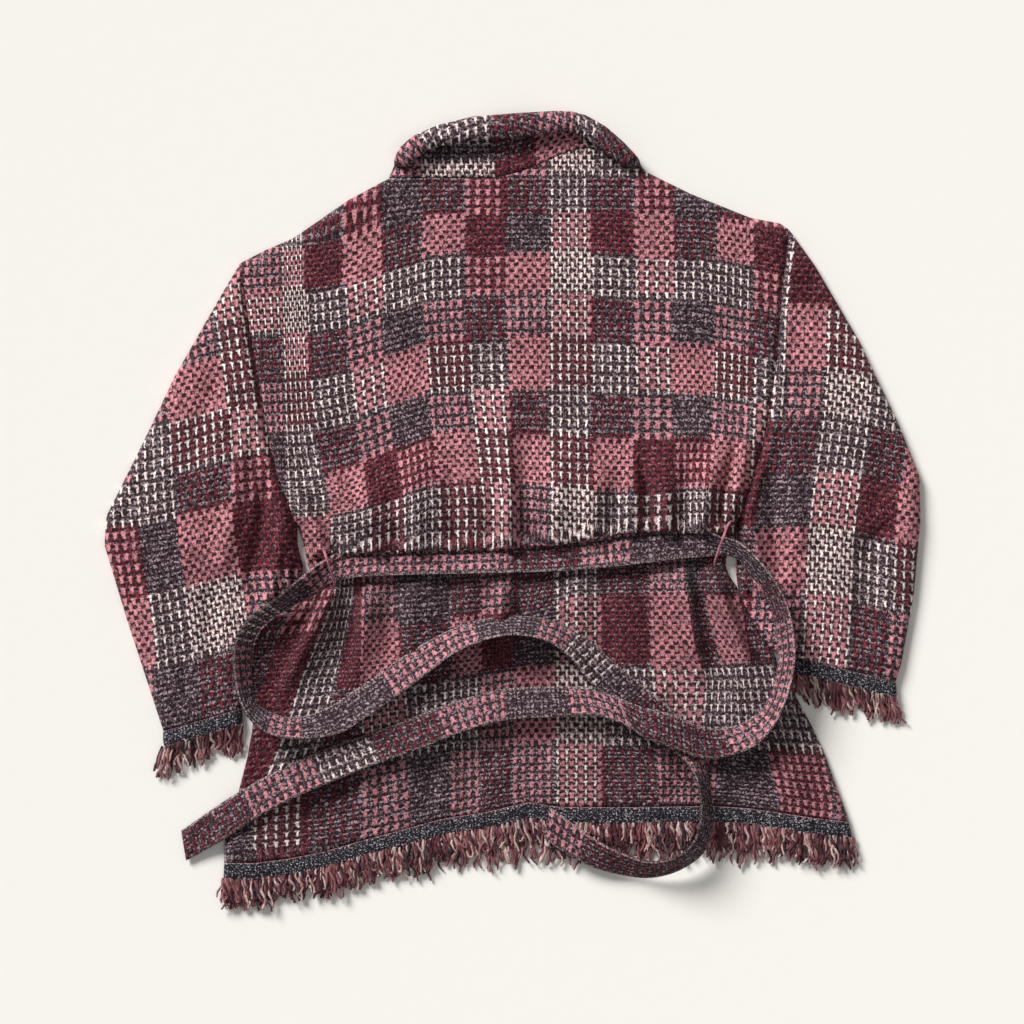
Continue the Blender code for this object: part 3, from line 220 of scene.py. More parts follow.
def along(rows, count):
    """Points spread evenly along a line through the rows."""
    rows = plan(rows)
    steps = np.linalg.norm(np.diff(rows, axis=0), axis=1)
    reach = np.concatenate([[0.0], np.cumsum(steps)])
    where = np.linspace(0.0, reach[-1], count)
    return np.stack([np.interp(where, reach, rows[:, k]) for k in range(rows.shape[1])], axis=1)


def smooth_line(rows, count):
    """Points on a smooth curve through the rows, spread evenly along it."""
    rows = plan(rows)
    ends = np.vstack([2 * rows[0] - rows[1], rows, 2 * rows[-1] - rows[-2]])
    fine = []
    for k in range(1, len(ends) - 2):
        p0, p1, p2, p3 = ends[k - 1:k + 3]
        for t in np.linspace(0.0, 1.0, 12, endpoint=False):
            fine.append(0.5 * (2 * p1 + (p2 - p0) * t + (2 * p0 - 5 * p1 + 4 * p2 - p3) * t ** 2
                               + (3 * p1 - p0 - 3 * p2 + p3) * t ** 3))
    fine.append(ends[-2])
    return along(fine, count)


def across_at(rows, down):
    """The first column of a table whose second column holds the places, such as an edge that
    runs down the sheet."""
    rows = plan(rows)
    return np.interp(down, rows[:, 1], rows[:, 0])


def column(rows, place, index):
    """A value from a table whose first column holds the places, in rising order."""
    rows = plan(rows)
    return np.interp(place, rows[:, 0], rows[:, index])


def between(values, ends):
    """Whether each value lies between two ends."""
    return (values > ends[0]) & (values < ends[1])


def distance_to(points, rows):
    """Distance in plan from each point to a line through the rows."""
    rows = plan(rows)
    best = np.full(points.shape[:-1], 1e9)
    for start, end in zip(rows[:-1], rows[1:]):
        way = end - start
        share = np.clip(((points - start) @ way) / (way @ way), 0.0, 1.0)
        gap = np.linalg.norm(points - start - share[..., None] * way, axis=-1)
        best = np.minimum(best, gap)
    return best


def inside(points, outline):
    """Whether each point lies inside a closed outline."""
    outline = plan(outline)
    hits = np.zeros(points.shape[:-1], dtype=bool)
    for (ax, ay), (bx, by) in zip(outline, np.roll(outline, -1, axis=0)):
        if ay == by:
            continue
        crosses = (ay > points[..., 1]) != (by > points[..., 1])
        where = ax + (points[..., 1] - ay) * (bx - ax) / (by - ay)
        hits ^= crosses & (points[..., 0] < where)
    return hits


CLOSED_EDGES = (
    SHOULDER_LEFT + SLEEVE_OUTER_LEFT[1:], SHOULDER_RIGHT + SLEEVE_OUTER_RIGHT[1:],
    SLEEVE_INNER_LEFT, SLEEVE_INNER_RIGHT, SIDE_LEFT, SIDE_RIGHT,
)


def edge_distance(points):
    """Distance in plan to the nearest folded edge or side seam."""
    return np.min([distance_to(points, rows) for rows in CLOSED_EDGES], axis=0)


def soft(share):
    """Smooth step from 0 to 1."""
    share = np.clip(share, 0.0, 1.0)
    return share * share * (3 - 2 * share)


def cloth_height(points):
    """Full height of the upper cloth, before it rounds down to an edge."""
    across, down = points[..., 0], points[..., 1]
    height = column(HEIGHTS, down, 1)
    for a0, d0, a1, d1, half, rise in FOLDS:
        gap = distance_to(points, ((a0, d0), (a1, d1)))
        height = height + rise * np.exp(-(gap / half) ** 2)
    drop = soft((down - column(WAIST, across, 1) + WAIST_DROP) / WAIST_DROP)
    rise = soft((down - column(WAIST, across, 2) - 1) / SKIRT_RISE)
    waist = WAIST_LOW + (height - WAIST_LOW) * np.maximum(1 - drop, rise)
    height = np.where(between(across, WAIST_ENDS), waist, height)
    return np.maximum(height, WAIST_LOW - 1.0)


def rounded(distance, rise):
    """Height gained at a distance from a rounded edge."""
    width = np.clip(ROUND_SHARE * rise, ROUND_MIN, ROUND_MAX)
    share = np.clip(distance / width, 0.0, 1.0)
    return rise * np.sqrt(1 - (1 - share) ** 2)


def upper_height(points):
    """Height of the upper layer's outside."""
    rise = cloth_height(points) - EQUATOR
    return EQUATOR + rounded(edge_distance(points), rise)


def under_height(points):
    """Height of the lower layer's outside, flat on the sheet but for its rounded edges."""
    share = np.clip(edge_distance(points) / UNDER_ROUND, 0.0, 1.0)
    return EQUATOR * (1 - np.sqrt(1 - (1 - share) ** 2))


def lay(points):
    """Sheet millimetres to metres in the model's frame."""
    points = np.asarray(points, dtype=float)
    out = np.empty_like(points)
    out[..., 0] = (points[..., 0] - LAY_MIDDLE[0]) * MM
    out[..., 1] = (LAY_MIDDLE[1] - points[..., 1]) * MM
    out[..., 2] = points[..., 2] * MM
    return out


def facing(grid, closed=False, around=False):
    """Unit normals in sheet axes. Closed joins the last section to the first, and around
    joins the ends of each section."""
    def change(values, axis, wrap):
        if wrap:
            return np.roll(values, -1, axis=axis) - np.roll(values, 1, axis=axis)
        return np.gradient(values, axis=axis)
    normal = np.cross(change(grid, 0, closed), change(grid, 1, around))
    length = np.linalg.norm(normal, axis=-1, keepdims=True)
    return normal / np.maximum(length, 1e-9)


def without(normal, direction):
    """Normals with their share along a direction taken out."""
    direction = np.asarray(direction, dtype=float)
    direction = direction / np.linalg.norm(direction)
    flat = normal - (normal @ direction)[..., None] * direction
    return flat / np.maximum(np.linalg.norm(flat, axis=-1, keepdims=True), 1e-9)


def ring_normals(ring, direction):
    """Outward normals of a closed ring within the plane across a direction."""
    tangent = np.roll(ring, -1, axis=0) - np.roll(ring, 1, axis=0)
    normal = without(np.cross(tangent, np.asarray(direction, dtype=float)), direction)
    outward = ring - ring.mean(axis=0)
    return -normal if np.sum(normal * outward) < 0 else normal


def tube_normals(grid):
    """Normals of a grid whose sections close, pointing away from each section's middle."""
    normals = facing(grid, around=True)
    outward = grid - grid.mean(axis=1, keepdims=True)
    outward[..., :2] *= 0.2
    outward[..., 2] *= 2.0
    flips = np.sum(normals * outward, axis=(0, 1)).sum() < 0
    return -normals if flips else normals


OUTLINES = (TOP_BACK + SIDE_RIGHT + tuple(reversed(SIDE_LEFT)),
            SLEEVE_OUTER_LEFT + tuple(reversed(SLEEVE_INNER_LEFT)),
            SLEEVE_OUTER_RIGHT + tuple(reversed(SLEEVE_INNER_RIGHT)))


def ground(points):
    """Height of whatever lies at each point of the sheet, the bare sheet being 0."""
    across = points[..., 0]
    height = np.zeros(points.shape[:-1])
    upper = upper_height(points)
    for outline in OUTLINES:
        height = np.where(inside(points, outline), np.maximum(height, upper), height)
    depth = points[..., 1] - column(HEM, across, 1)
    in_hem = between(depth, (-5, BAND_WIDTH + BACKING + 3)) & between(across, HEM_ENDS)
    height = np.where(in_hem, np.maximum(height, np.minimum(upper, BAND_HEIGHT)), height)
    in_fringe = (depth >= BAND_WIDTH) & (depth < FRINGE_END) & between(across, FRINGE_ENDS)
    return np.where(in_fringe, np.maximum(height, FRINGE_HEIGHT), height)


# ---------------------------------------------------------------- fine relief

SEAM_DIP, SEAM_DIP_WIDTH = 4.4, 3.2          # the armhole seams pull the cloth in
SEAM_RIDGE, SEAM_RIDGE_WIDTH = 3.0, 5.0      # and the sleeve's turnings lift it beside them,
SEAM_RIDGE_AT, SEAM_RIDGE_PAST = 8.0, 20     # down to a little past the underarm
CALM_ENDS = (296, 738)           # creases die down beside the belt between these
EDGE_CALM = 14.0                 # and within this distance of an edge
GATHER_OVER, GATHER_REACH = 3.0, 40          # the blouse is drawn in just over the belt
WAVES = (                        # soft unevenness: spacing across, spacing down, height, seed
    (95, 120, 2.6, 3.1), (48, 60, 1.7, 8.7), (26, 30, 0.8, 5.3),
)
CREASE_PARTING = 570             # a crease that starts above this belongs to the blouse
CREASE_ABOVE, CREASE_BELOW = 2.1, 2.6        # strength of the creases over and under the belt
CREASE_START, CREASE_FADE = 0.1, 0.6         # how a crease's free end fades along its length
BELT_REACH = (519, 612)          # creases that end between these run up to the belt
CREASES = (                      # from, to, half width, rise
    (302, 486, 346, 548, 5, -6.5), (314, 462, 366, 524, 8, 4.0), (287, 484, 333, 556, 6, 6.5),
    (276, 430, 312, 500, 8, -3.5), (318, 430, 372, 500, 10, -3.0), (300, 400, 350, 440, 10, 2.2),
    (400, 552, 388, 470, 7, -3.5), (420, 552, 412, 450, 8, 3.0), (455, 550, 450, 440, 8, -3.0),
    (492, 552, 494, 450, 6, -3.0), (508, 548, 508, 410, 7, 3.6), (524, 548, 526, 440, 6, -3.2),
    (380, 552, 360, 470, 7, 3.0), (554, 545, 560, 450, 8, 2.2),
    (590, 544, 598, 450, 9, 2.4), (612, 538, 616, 460, 6, -3.4), (632, 536, 630, 440, 7, 2.6),
    (650, 535, 641, 440, 5, -4.2), (668, 532, 662, 440, 6, 3.2), (682, 530, 686, 440, 5, -3.6),
    (700, 528, 716, 440, 6, 3.2), (716, 522, 738, 430, 5, -4.4), (730, 521, 752, 410, 6, 3.8),
    (270, 318, 340, 348, 12, -2.2), (262, 400, 326, 432, 10, -2.0), (760, 320, 690, 350, 12, -2.0),
    (560, 300, 610, 372, 16, -1.6), (430, 330, 470, 420, 18, -1.6), (640, 400, 700, 430, 14, -1.8),
    (500, 420, 560, 470, 16, -1.6), (360, 400, 420, 470, 14, -1.6), (420, 300, 380, 360, 14, 1.4),
    (230, 330, 190, 470, 11, -2.6), (252, 400, 224, 560, 9, 3.0), (272, 450, 250, 590, 7, -4.0),
    (286, 500, 270, 600, 6, 3.6), (120, 520, 170, 556, 10, -2.4), (150, 600, 180, 690, 11, 2.2),
    (210, 600, 214, 690, 10, -2.4), (180, 420, 150, 520, 12, 1.8), (196, 560, 240, 600, 8, -2.0),
    (800, 260, 838, 350, 10, -2.6), (784, 400, 800, 540, 9, 2.8), (764, 450, 780, 570, 7, -3.8),
    (748, 490, 762, 590, 6, 3.4), (908, 510, 864, 552, 10, -2.6), (834, 560, 838, 650, 12, 2.2),
    (868, 570, 862, 660, 11, -2.2), (800, 590, 812, 650, 8, -2.0), (850, 400, 880, 470, 12, 1.8),
    (333, 590, 276, 708, 8, 5.4), (351, 586, 326, 700, 7, -6.0), (306, 600, 256, 716, 9, -5.4),
    (368, 590, 352, 710, 7, 2.8), (392, 590, 386, 680, 8, -2.8), (412, 590, 412, 690, 9, 2.4),
    (444, 590, 446, 680, 8, -2.4), (482, 588, 484, 660, 6, -3.8), (502, 588, 502, 670, 7, 3.8),
    (522, 588, 524, 680, 6, -4.0), (576, 584, 580, 680, 10, 2.4), (603, 584, 608, 690, 8, -3.0),
    (640, 578, 658, 690, 8, -2.8), (684, 574, 706, 690, 6, 4.6), (697, 572, 730, 704, 5, -7.0),
    (711, 576, 762, 690, 7, 4.6), (733, 596, 772, 690, 7, -5.4), (758, 640, 776, 720, 7, 2.8),
    (262, 622, 258, 700, 10, -4.0), (752, 596, 770, 640, 7, -4.0), (276, 612, 262, 650, 5, 2.4),
    (262, 690, 250, 840, 11, -2.6), (290, 720, 276, 840, 12, 2.4), (334, 720, 322, 840, 13, -2.4),
    (400, 740, 396, 824, 14, 2.0), (470, 750, 474, 816, 9, -2.6), (500, 750, 500, 800, 10, 2.2),
    (610, 750, 616, 800, 14, -1.8), (694, 750, 700, 800, 8, -3.4), (716, 756, 722, 804, 9, 2.4),
    (752, 740, 770, 800, 10, -3.6), (782, 740, 804, 812, 10, 3.0), (812, 750, 836, 820, 9, -2.6),
    (372, 700, 366, 830, 9, 2.6), (430, 740, 428, 820, 8, -2.6), (540, 660, 536, 700, 9, -2.4),
    (556, 740, 556, 800, 9, 2.2), (660, 750, 664, 800, 9, 2.6),
)


def waves(points):
    """Soft unevenness of laid wool."""
    total = np.zeros(points.shape[:-1])
    for wide, tall, height, seed in WAVES:
        flat = points.reshape(-1, 2)
        values = [noise.noise(Vector((a / wide + seed, d / tall - seed, seed))) for a, d in flat]
        total += height * np.array(values).reshape(points.shape[:-1])
    return total


def fine_height(points):
    """The upper layer's outside with its small creases and drawn-in seams."""
    across, down = points[..., 0], points[..., 1]
    height = upper_height(points)
    extra = waves(points)
    for a0, d0, a1, d1, half, rise in CREASES:
        gap = distance_to(points, ((a0, d0), (a1, d1)))
        way = np.array((a1 - a0, d1 - d0))
        share = (points - (a0, d0)) @ way / (way @ way)
        strength = CREASE_ABOVE if d0 < CREASE_PARTING else CREASE_BELOW
        for end, inward in ((d0, share), (d1, 1 - share)):
            if not BELT_REACH[0] < end < BELT_REACH[1]:
                strength = strength * soft(CREASE_START + inward / CREASE_FADE)
        extra += strength * rise * np.exp(-(gap / half) ** 2)
    for side, corner in enumerate(UNDERARM):
        line = armhole_line(side)
        extra -= SEAM_DIP * np.exp(-(distance_to(points, line) / SEAM_DIP_WIDTH) ** 2)
        beyond = (across - across_at(line, down)) * (1 if side else -1)
        ridge = np.exp(-((beyond - SEAM_RIDGE_AT) / SEAM_RIDGE_WIDTH) ** 2)
        extra += SEAM_RIDGE * ridge * (down < corner[1] + SEAM_RIDGE_PAST)
    near = soft(edge_distance(points) / EDGE_CALM)
    above = column(WAIST, across, 1) - down
    body = between(across, CALM_ENDS)
    clear = np.maximum(soft((above - 3) / 9), soft((down - column(WAIST, across, 2) - 1) / 12))
    calm = np.where(body, clear, 1.0)
    gathered = (BELT_TOP + GATHER_OVER + (height - BELT_TOP - GATHER_OVER)
                * (0.24 + 0.76 * soft((above - 2) / GATHER_REACH)))
    bloused = body & (above > 0) & (height > BELT_TOP + GATHER_OVER)
    height = np.where(bloused, gathered, height)
    return np.maximum(height + extra * near * calm, np.minimum(height, EQUATOR + WALL + 1.6))


def armhole_line(side):
    """One armhole seam as points on the sheet."""
    top, end = SHOULDER_POINTS[side][1], WAIST_ROW[side]
    return (*((row[1 + side], top + (end - top) * row[0]) for row in ARMHOLE), UNDERARM[side])


# ---------------------------------------------------------------- weave coordinates

THREAD_ACROSS = 8.75             # spacing of the long stitches across and down the cloth
THREAD_DOWN = 10.6
# Checks above the belt. Left edges of the check columns at three levels of the sheet, in
# threads and millimetres, and tops of the check rows.
BODY_COLUMNS_AT = (
    (-16, 200, 214, 224), (-11, 236, 250, 258), (-5, 281, 284, 286), (0, 303, 309, 328),
    (5, 340, 350, 367), (9, 380, 390, 402), (14, 420, 428, 436), (19, 463, 468, 480),
    (23, 503, 508, 515), (28, 548, 548, 548), (33, 589, 590, 592), (38, 632, 632, 630),
    (42, 672, 674, 675), (47, 715, 712, 705), (52, 752, 750, 745), (56, 790, 790, 790),
    (61, 835, 838, 840),
)
COLUMN_LEVELS = (280.0, 400.0, 500.0)
BODY_ROWS_AT = (
    (-4, 138), (0, 178), (4, 218), (8, 258), (12, 300), (16, 345), (21, 396), (25, 441), (30, 491),
    (35, 546), (40, 600),
)
ROW_TILTS = ((240, 40), (320, 34), (350, 28), (385, 15), (430, 1), (470, -2), (560, -3), (640, 0),
             (700, 2), (760, 12), (800, 20))
# Checks below the belt: edges of the columns at three levels, and rows at places across.
SKIRT_COLUMNS_AT = (
    (0, 240, 205, 190), (5, 300, 262, 222), (10, 334, 298, 250), (15, 355, 336, 303),
    (20, 360, 358, 360), (25, 395, 398, 412), (30, 450, 450, 450), (34, 480, 480, 481),
    (38, 512, 511, 511), (43, 553, 553, 553), (48, 600, 600, 600), (54, 648, 648, 658),
    (59, 686, 704, 692), (62, 700, 722, 716), (67, 735, 752, 778), (73, 790, 800, 826),
    (79, 840, 860, 880),
)
SKIRT_LEVELS = (590.0, 680.0, 800.0)
SKIRT_ROWS = (-1.0, 5.0, 12.0, 19.0, 26.0)
SKIRT_ROWS_AT = (
    (200, 570, 650, 710, 800, 860), (240, 566, 640, 700, 795, 852), (330, 565, 632, 694, 780, 845),
    (375, 563, 628, 690, 766, 838), (450, 560, 622, 680, 751, 823), (530, 556, 612, 668, 748, 806),
    (575, 552, 600, 668, 748, 804), (700, 546, 598, 668, 748, 804), (780, 545, 600, 664, 754, 812),
    (860, 545, 604, 664, 760, 826),
)


def level_weave(points, table, levels):
    """Threads across, where the columns' edges shift from level to level."""
    table = plan(table)
    share = np.interp(points[..., 1], levels, (0, 1, 2))
    found = [np.interp(points[..., 0], table[:, 1 + k], table[:, 0]) for k in range(3)]
    return np.where(share < 1, found[0] * (1 - share) + found[1] * share,
                    found[1] * (2 - share) + found[2] * (share - 1))


def body_weave(points):
    """Threads across and down the cloth above the belt."""
    across, down = points[..., 0], points[..., 1]
    first = level_weave(points, BODY_COLUMNS_AT, COLUMN_LEVELS)
    tilt = column(ROW_TILTS, across, 1) * np.clip((down - 190) / 50, 0, 1)
    tilt = tilt * np.clip((600 - down) / 120, 0, 1)
    wave = 5 * np.sin(across / 46.0 + 1.1) * np.clip((down - 380) / 120, 0, 1)
    return np.stack([first, across_at(BODY_ROWS_AT, down - tilt - wave)], axis=-1)


def skirt_weave(points):
    """Threads across and down the cloth below the belt."""
    flat = points.reshape(-1, 2)
    first = level_weave(flat, SKIRT_COLUMNS_AT, SKIRT_LEVELS)
    downs = np.array([column(SKIRT_ROWS_AT, flat[:, 0], k) for k in range(1, 6)])
    second = [np.interp(spot[1], edges, SKIRT_ROWS) for spot, edges in zip(flat, downs.T)]
    return np.stack([first, second], axis=-1).reshape(points.shape)


def sleeve_weave(points, side):
    """Threads across and down the cloth at points of a sleeve."""
    across, down = points[..., 0], points[..., 1]
    if side:
        first = (across - 812 + 0.09 * (down - 480)) / THREAD_ACROSS
        second = (down - 0.1 * (across - 840)) / (THREAD_DOWN + 0.6)
    else:
        first = (across - 140 - 0.1 * (down - 540)) / THREAD_ACROSS
        second = (down + 0.16 * (across - 200)) / (THREAD_DOWN + 0.6)
    first = first + 0.25 * np.sin(down / 37.0)
    second = second + 0.35 * np.sin(across / 31.0)
    return np.stack([first, second], axis=-1)


# ---------------------------------------------------------------- fine cloth meshes

def add_object(name, data):
    """A new object in the scene."""
    obj = bpy.data.objects.new(name, data)
    bpy.context.scene.collection.objects.link(obj)
    return obj


def woven_mesh(name, outer, weave, inner=None, around=False, change=None):
    """A closed wall of cloth between two grids, or a tube with filled ends where there is no
    inner one. Rows from change on take the second look."""
    rows, columns = outer.shape[:2]
    spans = columns if around else columns - 1
    work = bmesh.new()
    station = work.verts.layers.int.new("station")
    bmesh.ops.create_grid(work, x_segments=spans, y_segments=rows - 1, size=1.0)
    for vert in work.verts:
        across = round((vert.co.x + 1) / 2 * spans)
        down = round((vert.co.y + 1) / 2 * (rows - 1))
        vert[station] = down * (spans + 1) + across
        vert.co = outer[down, across % columns]
    if around:
        bmesh.ops.remove_doubles(work, verts=work.verts[:], dist=1e-7)
    if inner is None:
        ends = [edge for edge in work.edges if len(edge.link_faces) == 1]
        bmesh.ops.holes_fill(work, edges=ends, sides=0)
    else:
        grown = bmesh.ops.extrude_face_region(work, geom=work.faces[:])
        for vert in grown["geom"]:
            if isinstance(vert, bmesh.types.BMVert):
                down, across = divmod(vert[station], spans + 1)
                vert.co = inner[down, across % columns]
    bmesh.ops.recalc_face_normals(work, faces=work.faces[:])
    threads = work.loops.layers.uv.new("weave")
    for face in work.faces:
        face.smooth = True
        downs = []
        for loop in face.loops:
            down, across = divmod(loop.vert[station], spans + 1)
            loop[threads].uv = weave[down, across % columns]
            downs.append(down)
        face.material_index = int(change is not None and max(downs) > change)
    mesh = bpy.data.meshes.new(name)
    work.to_mesh(mesh)
    work.free()
    return add_object(name, mesh)


def thick(name, grid, normals, weave, around=False, span=(0.0, 99.0), change=None):
    """Cloth of a thickness behind a grid of outer points."""
    inner = grid - WALL * normals
    inner[..., 2] = np.clip(inner[..., 2], *span)
    return woven_mesh(name, lay(grid), weave, lay(inner), around, change)


def up_normals(grid):
    """Normals of a layer that faces up."""
    normals = facing(grid)
    return np.where(normals[..., 2:3] < 0, -normals, normals)


def level(normals):
    """Normals laid flat in the sheet's plane."""
    return without(normals, (0, 0, 1))


def armhole_table(side):
    """An armhole's places as shares of the way to the waist row, and across the sheet."""
    arm = plan(ARMHOLE)
    top = SHOULDER_POINTS[side][1]
    corner_share = (UNDERARM[side][1] - top) / (WAIST_ROW[side] - top)
    return np.array([*arm[:, 0], corner_share]), np.array([*arm[:, 1 + side], UNDERARM[side][0]])


def side_edge(side, share):
    """A side edge of the body above the waist row: armhole, then side seam."""
    top = SHOULDER_POINTS[side][1]
    down = top + (WAIST_ROW[side] - top) * share
    shares, acrosses = armhole_table(side)
    if share <= shares[-1]:
        return np.interp(share, shares, acrosses), down
    return across_at(SIDES[side], down), down


def seam_across(side, down_at):
    """Where a row that follows down_at meets a side seam."""
    seam = SIDES[side]
    down = float(down_at(plan(seam)[len(seam) // 2, 0]))
    for _ in range(30):
        down = 0.5 * down + 0.5 * float(down_at(across_at(seam, down)))
    return across_at(seam, down)


def body_row(down_at, shares):
    """A row below the underarms whose ends lie on both side seams."""
    left, right = seam_across(0, down_at), seam_across(1, down_at)
    across = left + (right - left) * shares
    return np.stack([across, down_at(across)], axis=1)


def part_side(side, edge, grid, normals):
    """Part a side edge from its neighbour: the sleeve down to the underarm, then the other
    layer."""
    at_seam = grid[:, edge, 1] < UNDERARM[side][1]
    normals[at_seam, edge] = without(normals[at_seam, edge], (1, 0, 0))
    normals[~at_seam, edge] = level(normals[~at_seam, edge])
    grid[at_seam, edge, 0] += -SEAM / 2 if side else SEAM / 2


def square_ends(grid, normals):
    """Walls upright at the neck and the hem, and level along the shoulders."""
    neck = between(grid[0, :, 0], (NECK_LEFT + 0.5, NECK_RIGHT - 0.5))
    normals[0, neck] = without(normals[0, neck], (0, 1, 0))
    normals[0, ~neck] = level(normals[0, ~neck])
    normals[-1] = without(normals[-1], (0, 1, 0))


def edge_crowded(count, first, ends=(True, True)):
    """Shares from 0 to 1, close together near the ends."""
    shares = np.linspace(0.0, 1.0, count)
    near = np.array([0.0, 0.15, 0.35, 0.6]) * first
    parts = [shares[1:-1]]
    parts.insert(0, near if ends[0] else np.array([0.0]))
    parts.append(1 - near[::-1] if ends[1] else np.array([1.0]))
    return np.concatenate(parts)


# Section of the blouse over the belt: down from the lip, share of the blouse's height left
# over the belt, plain height that replaces the rest.
LIP_OFFSET = -4.0
LIP_ROWS = (
    (-15.0, 1.0), (-10.0, 1.0), (-6.0, 0.97), (-3.2, 0.9), (-1.4, 0.76), (-0.3, 0.55), (0.0, 0.34),
    (-0.8, 0.18), (-2.6, 0.06), (-5.5, 0.0), (-9.0, -0.05), (-11.5, -0.3), (-12.0, -0.62),
    (-10.5, -0.9), (-7.0, -1.0), (0.0, -1.0), (9.0, -1.0),
)
LIP_ENDS = (312.0, 728.0)        # the lip rolls between these,
SIDE_FADE = 36.0                 # and fades to a plain edge within this distance of them
UPPER_END = -15.5                # last row above the lip, measured down from it
LIP_START, LIP_END = -15.0, 9.0  # rows of the lip where it is plain
SKIRT_START = 11.0               # first row of the skirt


def lip_line(across, below=0.0):
    """Down the sheet at a distance below the blouse's lip."""
    return column(WAIST, across, 1) + LIP_OFFSET + below


def lip_share(across):
    """How fully the lip rolls, from 0 at the sides to 1."""
    return soft(np.minimum(across - LIP_ENDS[0], LIP_ENDS[1] - across) / SIDE_FADE)


def skirt_line(panel, share):
    """Down the sheet at a share of the skirt's length, for any place across."""
    def down_at(across):
        start = lip_line(across, SKIRT_START)
        end = column(HEM, across, panel) - SEAM / 2
        return start + (end - start) * share
    return down_at


def back_rows(shares):
    """Rows of the back above the lip: points, heights and weave."""
    rows, heights, weave = [], [], []
    top_across = SHOULDER_POINTS[0][0] + (SHOULDER_POINTS[1][0] - SHOULDER_POINTS[0][0]) * shares
    top_down = column(TOP_BACK, top_across, 1)
    steps = np.concatenate([[0.0, 0.002, 0.005, 0.01, 0.018], np.linspace(0.028, 0.98, 108)])
    for share in steps:
        (left, left_down), (right, right_down) = side_edge(0, share), side_edge(1, share)
        across = left + (right - left) * shares
        down = top_down + (lip_line(across, UPPER_END) - top_down) * share
        down[0], down[-1] = left_down, right_down
        row = np.stack([across, down], axis=1)
        rows.append(row)
        heights.append(fine_height(row))
        weave.append(body_weave(row))
    return rows, heights, weave


def lip_rows(shares):
    """The blouse's lip, rolled over the belt and back under it."""
    rows, heights, weave = [], [], []
    for index, (offset, part) in enumerate(LIP_ROWS):
        plain = LIP_START + (LIP_END - LIP_START) * index / (len(LIP_ROWS) - 1)

        def down_at(across, offset=offset, plain=plain):
            fade = lip_share(across)
            return lip_line(across, offset * fade) + plain * (1 - fade)

        row = body_row(down_at, shares)
        fade = lip_share(row[:, 0])
        start = row.copy()
        start[:, 1] = lip_line(row[:, 0], LIP_START)
        blouse = fine_height(start)
        over = BELT_TOP + (blouse - BELT_TOP) * max(part, 0.0)
        under = WAIST_LOW + (BELT_TOP - WAIST_LOW) * (1 + min(part, 0.0))
        rolled = over if part >= 0 else under
        height = rolled * fade + upper_height(row) * (1 - fade)
        edge = rounded(edge_distance(row), np.maximum(height - EQUATOR, 0.5))
        rows.append(row)
        heights.append(np.minimum(height, EQUATOR + edge))
        step = body_weave(start)
        step[:, 1] += index * 0.13
        weave.append(step)
    return rows, heights, weave


def skirt_rows(shares):
    """Rows of the back from the belt down to the hem band."""
    rows = [body_row(skirt_line(1, share), shares) for share in np.linspace(0.0, 1.0, 78)]
    return rows, [fine_height(row) for row in rows], [skirt_weave(row) for row in rows]


def make_back():
    """The back of the jacket."""
    shares = edge_crowded(132, 1 / 131)
    rows, heights, weave = [], [], []
    for part in (back_rows(shares), lip_rows(shares), skirt_rows(shares)):
        change = len(rows)
        rows += part[0]
        heights += part[1]
        weave += part[2]
    grid = np.dstack([np.array(rows), np.array(heights)])
    grid[..., 2] = np.maximum(grid[..., 2], EQUATOR + SEAM_HALF)
    normals = facing(grid)
    if normals[40, 60, 2] < 0:          # a plain place in the upper back
        normals = -normals
    part_side(0, 0, grid, normals)
    part_side(1, -1, grid, normals)
    square_ends(grid, normals)
    return thick("back_cloth", grid, normals, np.array(weave), span=(EQUATOR + SEAM_HALF, 99),
                 change=change)


def make_front(side):
    """A front: flat where it lies, its side edge turned up to the side seam."""
    near = edge_crowded(52, 1 / 51, (False, True))
    centre = CENTRE_FRONT + (SEAM / 2 if side else -SEAM / 2)
    rows = []
    top_down = column(TOP_FRONT, centre + (SHOULDER_POINTS[side][0] - centre) * near, 1)
    for share in np.concatenate([[0.0, 0.004, 0.01, 0.018], np.linspace(0.03, 0.985, 44)]):
        edge, edge_down = side_edge(side, share)
        across = centre + (edge - centre) * near
        down = top_down + (lip_line(across, UPPER_END) - top_down) * share
        down[-1] = edge_down
        rows.append(np.stack([across, down], axis=1))
    for offset in np.linspace(LIP_START, LIP_END, 8):
        rows.append(front_row(side, centre, near,
                              lambda across, offset=offset: lip_line(across, offset)))
    change = len(rows)
    for share in np.linspace(0.0, 1.0, 34):
        rows.append(front_row(side, centre, near, skirt_line(2, share)))
    flat = np.array(rows)
    grid = np.dstack([flat, np.minimum(under_height(flat), EQUATOR - SEAM_HALF)])
    normals = -up_normals(grid)
    normals[:, 0] = without(normals[:, 0], (1, 0, 0))
    part_side(side, -1, grid, normals)
    square_ends(grid, normals)
    weave = np.concatenate([body_weave(flat[:change]), skirt_weave(flat[change:])])
    return thick(f"front_{NAMES[side]}_cloth", grid, normals, weave,
                 span=(0.0, EQUATOR - SEAM_HALF), change=change)


def front_row(side, centre, near, down_at):
    """A row of a front below the underarm."""
    across = centre + (seam_across(side, down_at) - centre) * near
    return np.stack([across, down_at(across)], axis=1)


# ---------------------------------------------------------------- sleeves and cuffs

SLEEVE_OVER, SLEEVE_UNDER, SLEEVE_RINGS = 74, 26, 124
BAND_ROWS, BAND_BULGE = 9, 0.9


